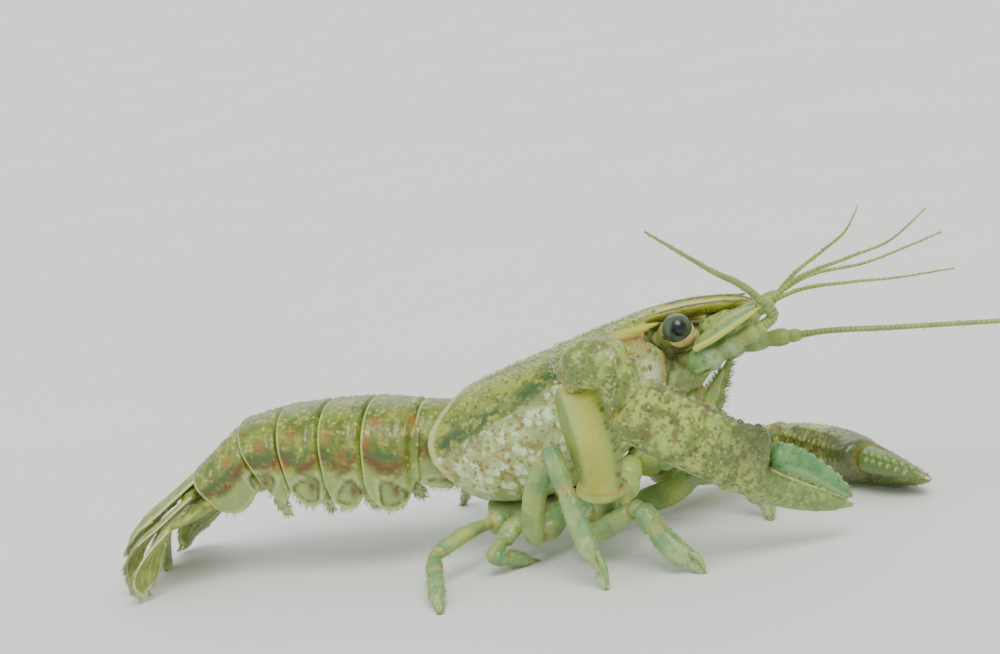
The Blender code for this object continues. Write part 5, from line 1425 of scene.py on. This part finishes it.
# Each leg: its side, where it leaves the body, its points up to the knee and those from there to the
# floor, all for the left
LEGS = {
    "leg_2_right": (-1, 12.9, ((13.2, 8.0, 3.2), (20.2, 13.2, 6.5)), ((22.4, 14.2, 3.5), (26.2, 15.3, -0.3))),
    "leg_3_right": (-1, 10.0, ((7.9, 8.2, 3.0), (9.2, 11.0, 8.0), (12.5, 14.0, 13.6)),
                    ((14.2, 15.6, 7.8), (16.9, 18.0, -0.3))),
    "leg_4_right": (-1, 7.0, ((5.6, 7.0, 4.4), (3.7, 10.6, 2.4)), ((5.2, 8.2, 1.1), (6.8, 5.8, -0.3))),
    "leg_5_right": (-1, 3.8, ((1.4, 7.2, 4.4), (-1.9, 12.4, 3.4)), ((-0.6, 17.0, 1.9), (0.8, 21.2, -0.3))),
    "leg_2_left": (1, 12.9, ((14.4, 4.9, 2.6), (18.6, 5.6, 2.6), (24.0, 5.8, 6.4)),
                   ((27.6, 3.8, 4.2), (30.2, 1.0, -0.3))),
    "leg_3_left": (1, 10.0, ((10.4, 8.0, 5.0), (13.4, 14.6, 10.0)), ((14.8, 17.6, 5.2), (16.4, 20.0, -0.3))),
    "leg_4_left": (1, 7.0, ((6.2, 8.0, 4.6), (4.4, 15.0, 8.6)), ((3.4, 18.2, 4.4), (2.6, 20.4, -0.3))),
    "leg_5_left": (1, 3.8, ((2.0, 7.6, 4.6), (-3.0, 13.4, 7.0)), ((-6.0, 16.6, 3.6), (-8.6, 19.0, -0.3))),
}
STOUT = {2: 1.12, 3: 0.96, 4: 0.94, 5: 0.88}
COXA_OUT = 3.75
COXA_DROP = 1.55
LEG_FLAT = (1, 0, 0.3)
UPPER_WIDE = ((0, 1.1), (0.08, 1.25), (0.19, 1.2), (0.235, 0.88), (0.27, 0.95), (0.33, 0.84), (0.4, 1.12),
              (0.6, 1.24), (0.86, 1.15), (0.95, 1.05), (1, 0.92))
UPPER_THICK = ((0, 1.05), (0.2, 1.05), (0.235, 0.8), (0.33, 0.78), (0.6, 0.95), (1, 0.85))
LOWER_THICK = ((0, 0.78), (0.06, 0.88), (0.26, 0.92), (0.3, 0.76), (0.345, 0.82), (0.6, 0.82), (0.74, 0.7),
               (0.78, 0.5), (1, 0.2))
PINCER_WIDE = ((0, 0.82), (0.05, 0.95), (0.2, 1.05), (0.26, 1.0), (0.3, 0.84), (0.345, 0.96), (0.45, 1.08),
               (0.62, 1.1), (0.73, 0.92), (0.77, 0.5), (0.9, 0.36), (1, 0.18))
POINT_WIDE = ((0, 0.8), (0.05, 0.92), (0.2, 1.0), (0.26, 0.96), (0.3, 0.8), (0.345, 0.9), (0.5, 0.98),
              (0.7, 0.86), (0.75, 0.6), (0.8, 0.55), (0.92, 0.36), (1, 0.16))


def stouter(stations, factor, start=0.0, end=1.0):
    """Stations made wider by the factor from start up to end, end itself left out."""
    return tuple((share, value * factor if start <= share < end else value) for share, value in stations)


def knee_ends(before_knee, knee, after_knee):
    """Where the two lengths of a leg end at the knee, as in the solids."""
    before, after = unit(knee - before_knee), unit(after_knee - knee)
    bend = math.acos(np.clip(-before @ after, -1, 1))
    if bend > math.radians(120):
        return knee - before * 0.15, knee + after * 0.75
    back_off = (0.95 + 0.6 * max(math.cos(bend), 0)) / max(math.sin(bend), 0.5)
    return knee - before * back_off, knee + unit(before - after) * 0.3


def leg_relief(share, turn):
    """Low grains all over a leg, and a shallow furrow along each side."""
    grains = np.sin(share * 90 + 3 * np.sin(turn * 2)) * np.sin(turn * 5 + share * 9)
    return 0.022 * grains - 0.06 * bump(np.cos(turn), 0.1, 0.22)


def build_legs():
    setae = Coat()
    for name, (side, root_x, upper, lower) in LEGS.items():
        number = int(name[4])
        stout = STOUT[number]
        coxa = np.array((root_x, COXA_OUT, low_margin(root_x) - COXA_DROP))
        top_end, low_start = knee_ends(*[np.array(p, float) for p in (upper[-2], upper[-1], lower[0])])
        leg = Skin()
        rows = leg.limb(mirrored([coxa, *upper[:-1], top_end], side), stouter(UPPER_WIDE, stout, 0.235, 1.1),
                        stouter(UPPER_THICK, stout, 0.235, 1.1), blunt=(0.5, 0.6), steps=110, sides=40,
                        flat=(0, 0.3, 1) if unit(top_end - coxa)[0] > 0.9 else LEG_FLAT, relief=leg_relief,
                        joint=bands(0.235, 0.335, 0.985, width=0.03), glow=bands(0.62, width=0.16, most=0.35))
        setae.scatter(rows, 60, (0.3, 1), 0.4)
        knee = np.array(mirrored([top_end, low_start], side))
        push = unit(knee[1] - knee[0]) * 0.45
        leg.limb([knee[0] - push, knee.mean(axis=0), knee[1] + push],
                 stouter(((0, 0.62), (0.5, 0.72), (1, 0.62)), stout, end=1.1), sides=24, joint=0.5)
        way = mirrored([low_start, *lower], side)
        if number < 4:
            build_pincer(leg, spline(way), stout)
        wide = PINCER_WIDE if number < 4 else POINT_WIDE
        rows = leg.limb(way, stouter(wide, stout), stouter(LOWER_THICK, stout),
                        flat=LEG_FLAT, blunt=(0.6, 0.6), steps=130, sides=40, relief=leg_relief,
                        joint=lambda share: np.minimum(bump(share, 0.3, 0.035) + 0.5 * bump(share, 0.77, 0.03)
                                                       + 0.5 * smooth_step(share, 0.97, 1.0), 1),
                        pale=ramp(0.45, 0.95))
        setae.scatter(rows, 230, (0.1, 0.99), 0.5, lean=0.9)
        setae.scatter(rows, 120, (0.62, 0.99), 0.4, lean=0.9)
        leg.make(f"{name}_skin", "limb", limb_horn, f"{name}_upper", f"{name}_lower")
    setae.make("leg_setae", "limb", 0.03)


def build_pincer(leg, line, stout):
    """The small moving finger beside the tip of a leg."""
    ahead = unit(line(1.0) - line(0.7))
    beside = unit(np.array(LEG_FLAT) - ahead * ahead[0] - ahead * 0.3 * ahead[2])
    leg.limb([line(0.66) + beside * 0.45 * stout, line(0.84) + beside * 0.8 * stout,
              line(0.96) + beside * 0.45],
             stouter(((0, 0.45), (0.5, 0.36), (1, 0.14)), stout), sides=24, blunt=(0.5, 1.0),
             joint=ramp(0.85, 1.0, most=0.6))


def build_sternum():
    """The floor of the body between the legs, with a ripple for each pair."""
    wide = profile(((1.0, 2.2), (5.0, 3.0), (14.0, 3.0), (19.5, 2.2)))
    x = np.concatenate([[1.3], np.linspace(1.4, 19.2, 120), [19.3]])[:, None]
    w = wide(x) * (0.86 + 0.14 * np.abs(np.sin((x - 1.0) * np.pi / 3.0)) ** 0.5)
    turn = np.linspace(0, 2 * np.pi, 49)[:-1]
    across, up = (np.sign(value) * np.abs(value) ** 0.7 for value in (np.sin(turn), np.cos(turn)))
    cut = 1 - 0.25 * bump(np.sin(turn), 0, 0.2) * (np.cos(turn) < 0)
    keel = Skin()
    keel.tube(np.stack([x + 0 * turn, w * across, low_margin(x) - 1.5 + 1.2 * up * cut], -1))
    keel.make("sternum_skin", "underside", underside_skin, "sternum")


# Camera, floor and light

CAMERA_PLACE = (81.73, -249.68, 71.92)
CAMERA_AXES = ((0.951, 0.2577, -0.1707), (0.1136, 0.2224, 0.9683), (0.2875, -0.9403, 0.1822))
SENSOR_WIDTH = 36
LENS = 92.7
CLIP_START = 0.01
CLIP_END = 20
FLOOR_HALF = 4.0
FLOOR_TONES = ((0.76, 0.77, 0.75), (0.80, 0.81, 0.79))
SKY_COLOUR = (0.88, 0.94, 0.92)
SKY_STRENGTH = 0.85
# Each lamp: where it shines from, its width in degrees, its power and its colour
LAMPS = {
    "key": ((80, -150, 230), 38, 2.5, (1, 0.98, 0.93)),
    "fill": ((-220, -160, 120), 60, 0.6, (0.93, 0.98, 1)),
    "back": ((-60, 240, 200), 50, 0.5, (1, 1, 0.96)),
}


def stand(made, spot, right, up, back):
    """Puts an object at a spot, turned by the directions of its three axes."""
    turn = Matrix([right, up, back]).transposed().to_4x4()
    turn.translation = place(spot).tolist()
    made.matrix_world = turn


def build_camera():
    data = bpy.data.cameras.new("camera")
    data.sensor_width = SENSOR_WIDTH
    data.lens = LENS
    data.clip_start = CLIP_START
    data.clip_end = CLIP_END
    made = added("camera", data)
    stand(made, CAMERA_PLACE, *CAMERA_AXES)
    bpy.context.scene.camera = made


def build_floor():
    mesh = bpy.data.meshes.new("floor")
    corners = [(x * FLOOR_HALF, y * FLOOR_HALF, 0) for x, y in ((-1, -1), (1, -1), (1, 1), (-1, 1))]
    mesh.from_pydata(corners, [], [(0, 1, 2, 3)])
    paint = Paint("floor_plain", 0.85)
    blend = paint.add("Mix")
    blend.data_type = "RGBA"
    for index, value in ((0, paint.noise(0.02)), (6, FLOOR_TONES[0]), (7, FLOOR_TONES[1])):
        paint.feed(blend.inputs[index], value)
    mesh.materials.append(paint.finish(blend.outputs[2]))
    floor = added("floor", mesh)


def build_lights():
    world = bpy.data.worlds.new("studio")
    bpy.context.scene.world = world
    world.use_nodes = True
    sky = world.node_tree.nodes["Background"]
    sky.inputs["Color"].default_value = (*SKY_COLOUR, 1)
    sky.inputs["Strength"].default_value = SKY_STRENGTH
    for name, (spot, wide, power, colour) in LAMPS.items():
        lamp = bpy.data.lights.new(name, "SUN")
        lamp.angle = math.radians(wide)
        lamp.energy = power
        lamp.color = colour
        back = unit(np.array(spot, float))
        right = unit(np.cross((0, 0, 1), back))
        stand(added(name, lamp), spot, right, np.cross(back, right), back)


build_carapace()
build_fuzz()
build_abdomen()
build_tail()
build_eyes()
build_feelers()
build_mouth()
build_maxillipeds()
build_claws()
build_legs()
build_sternum()
build_camera()
build_floor()
build_lights()
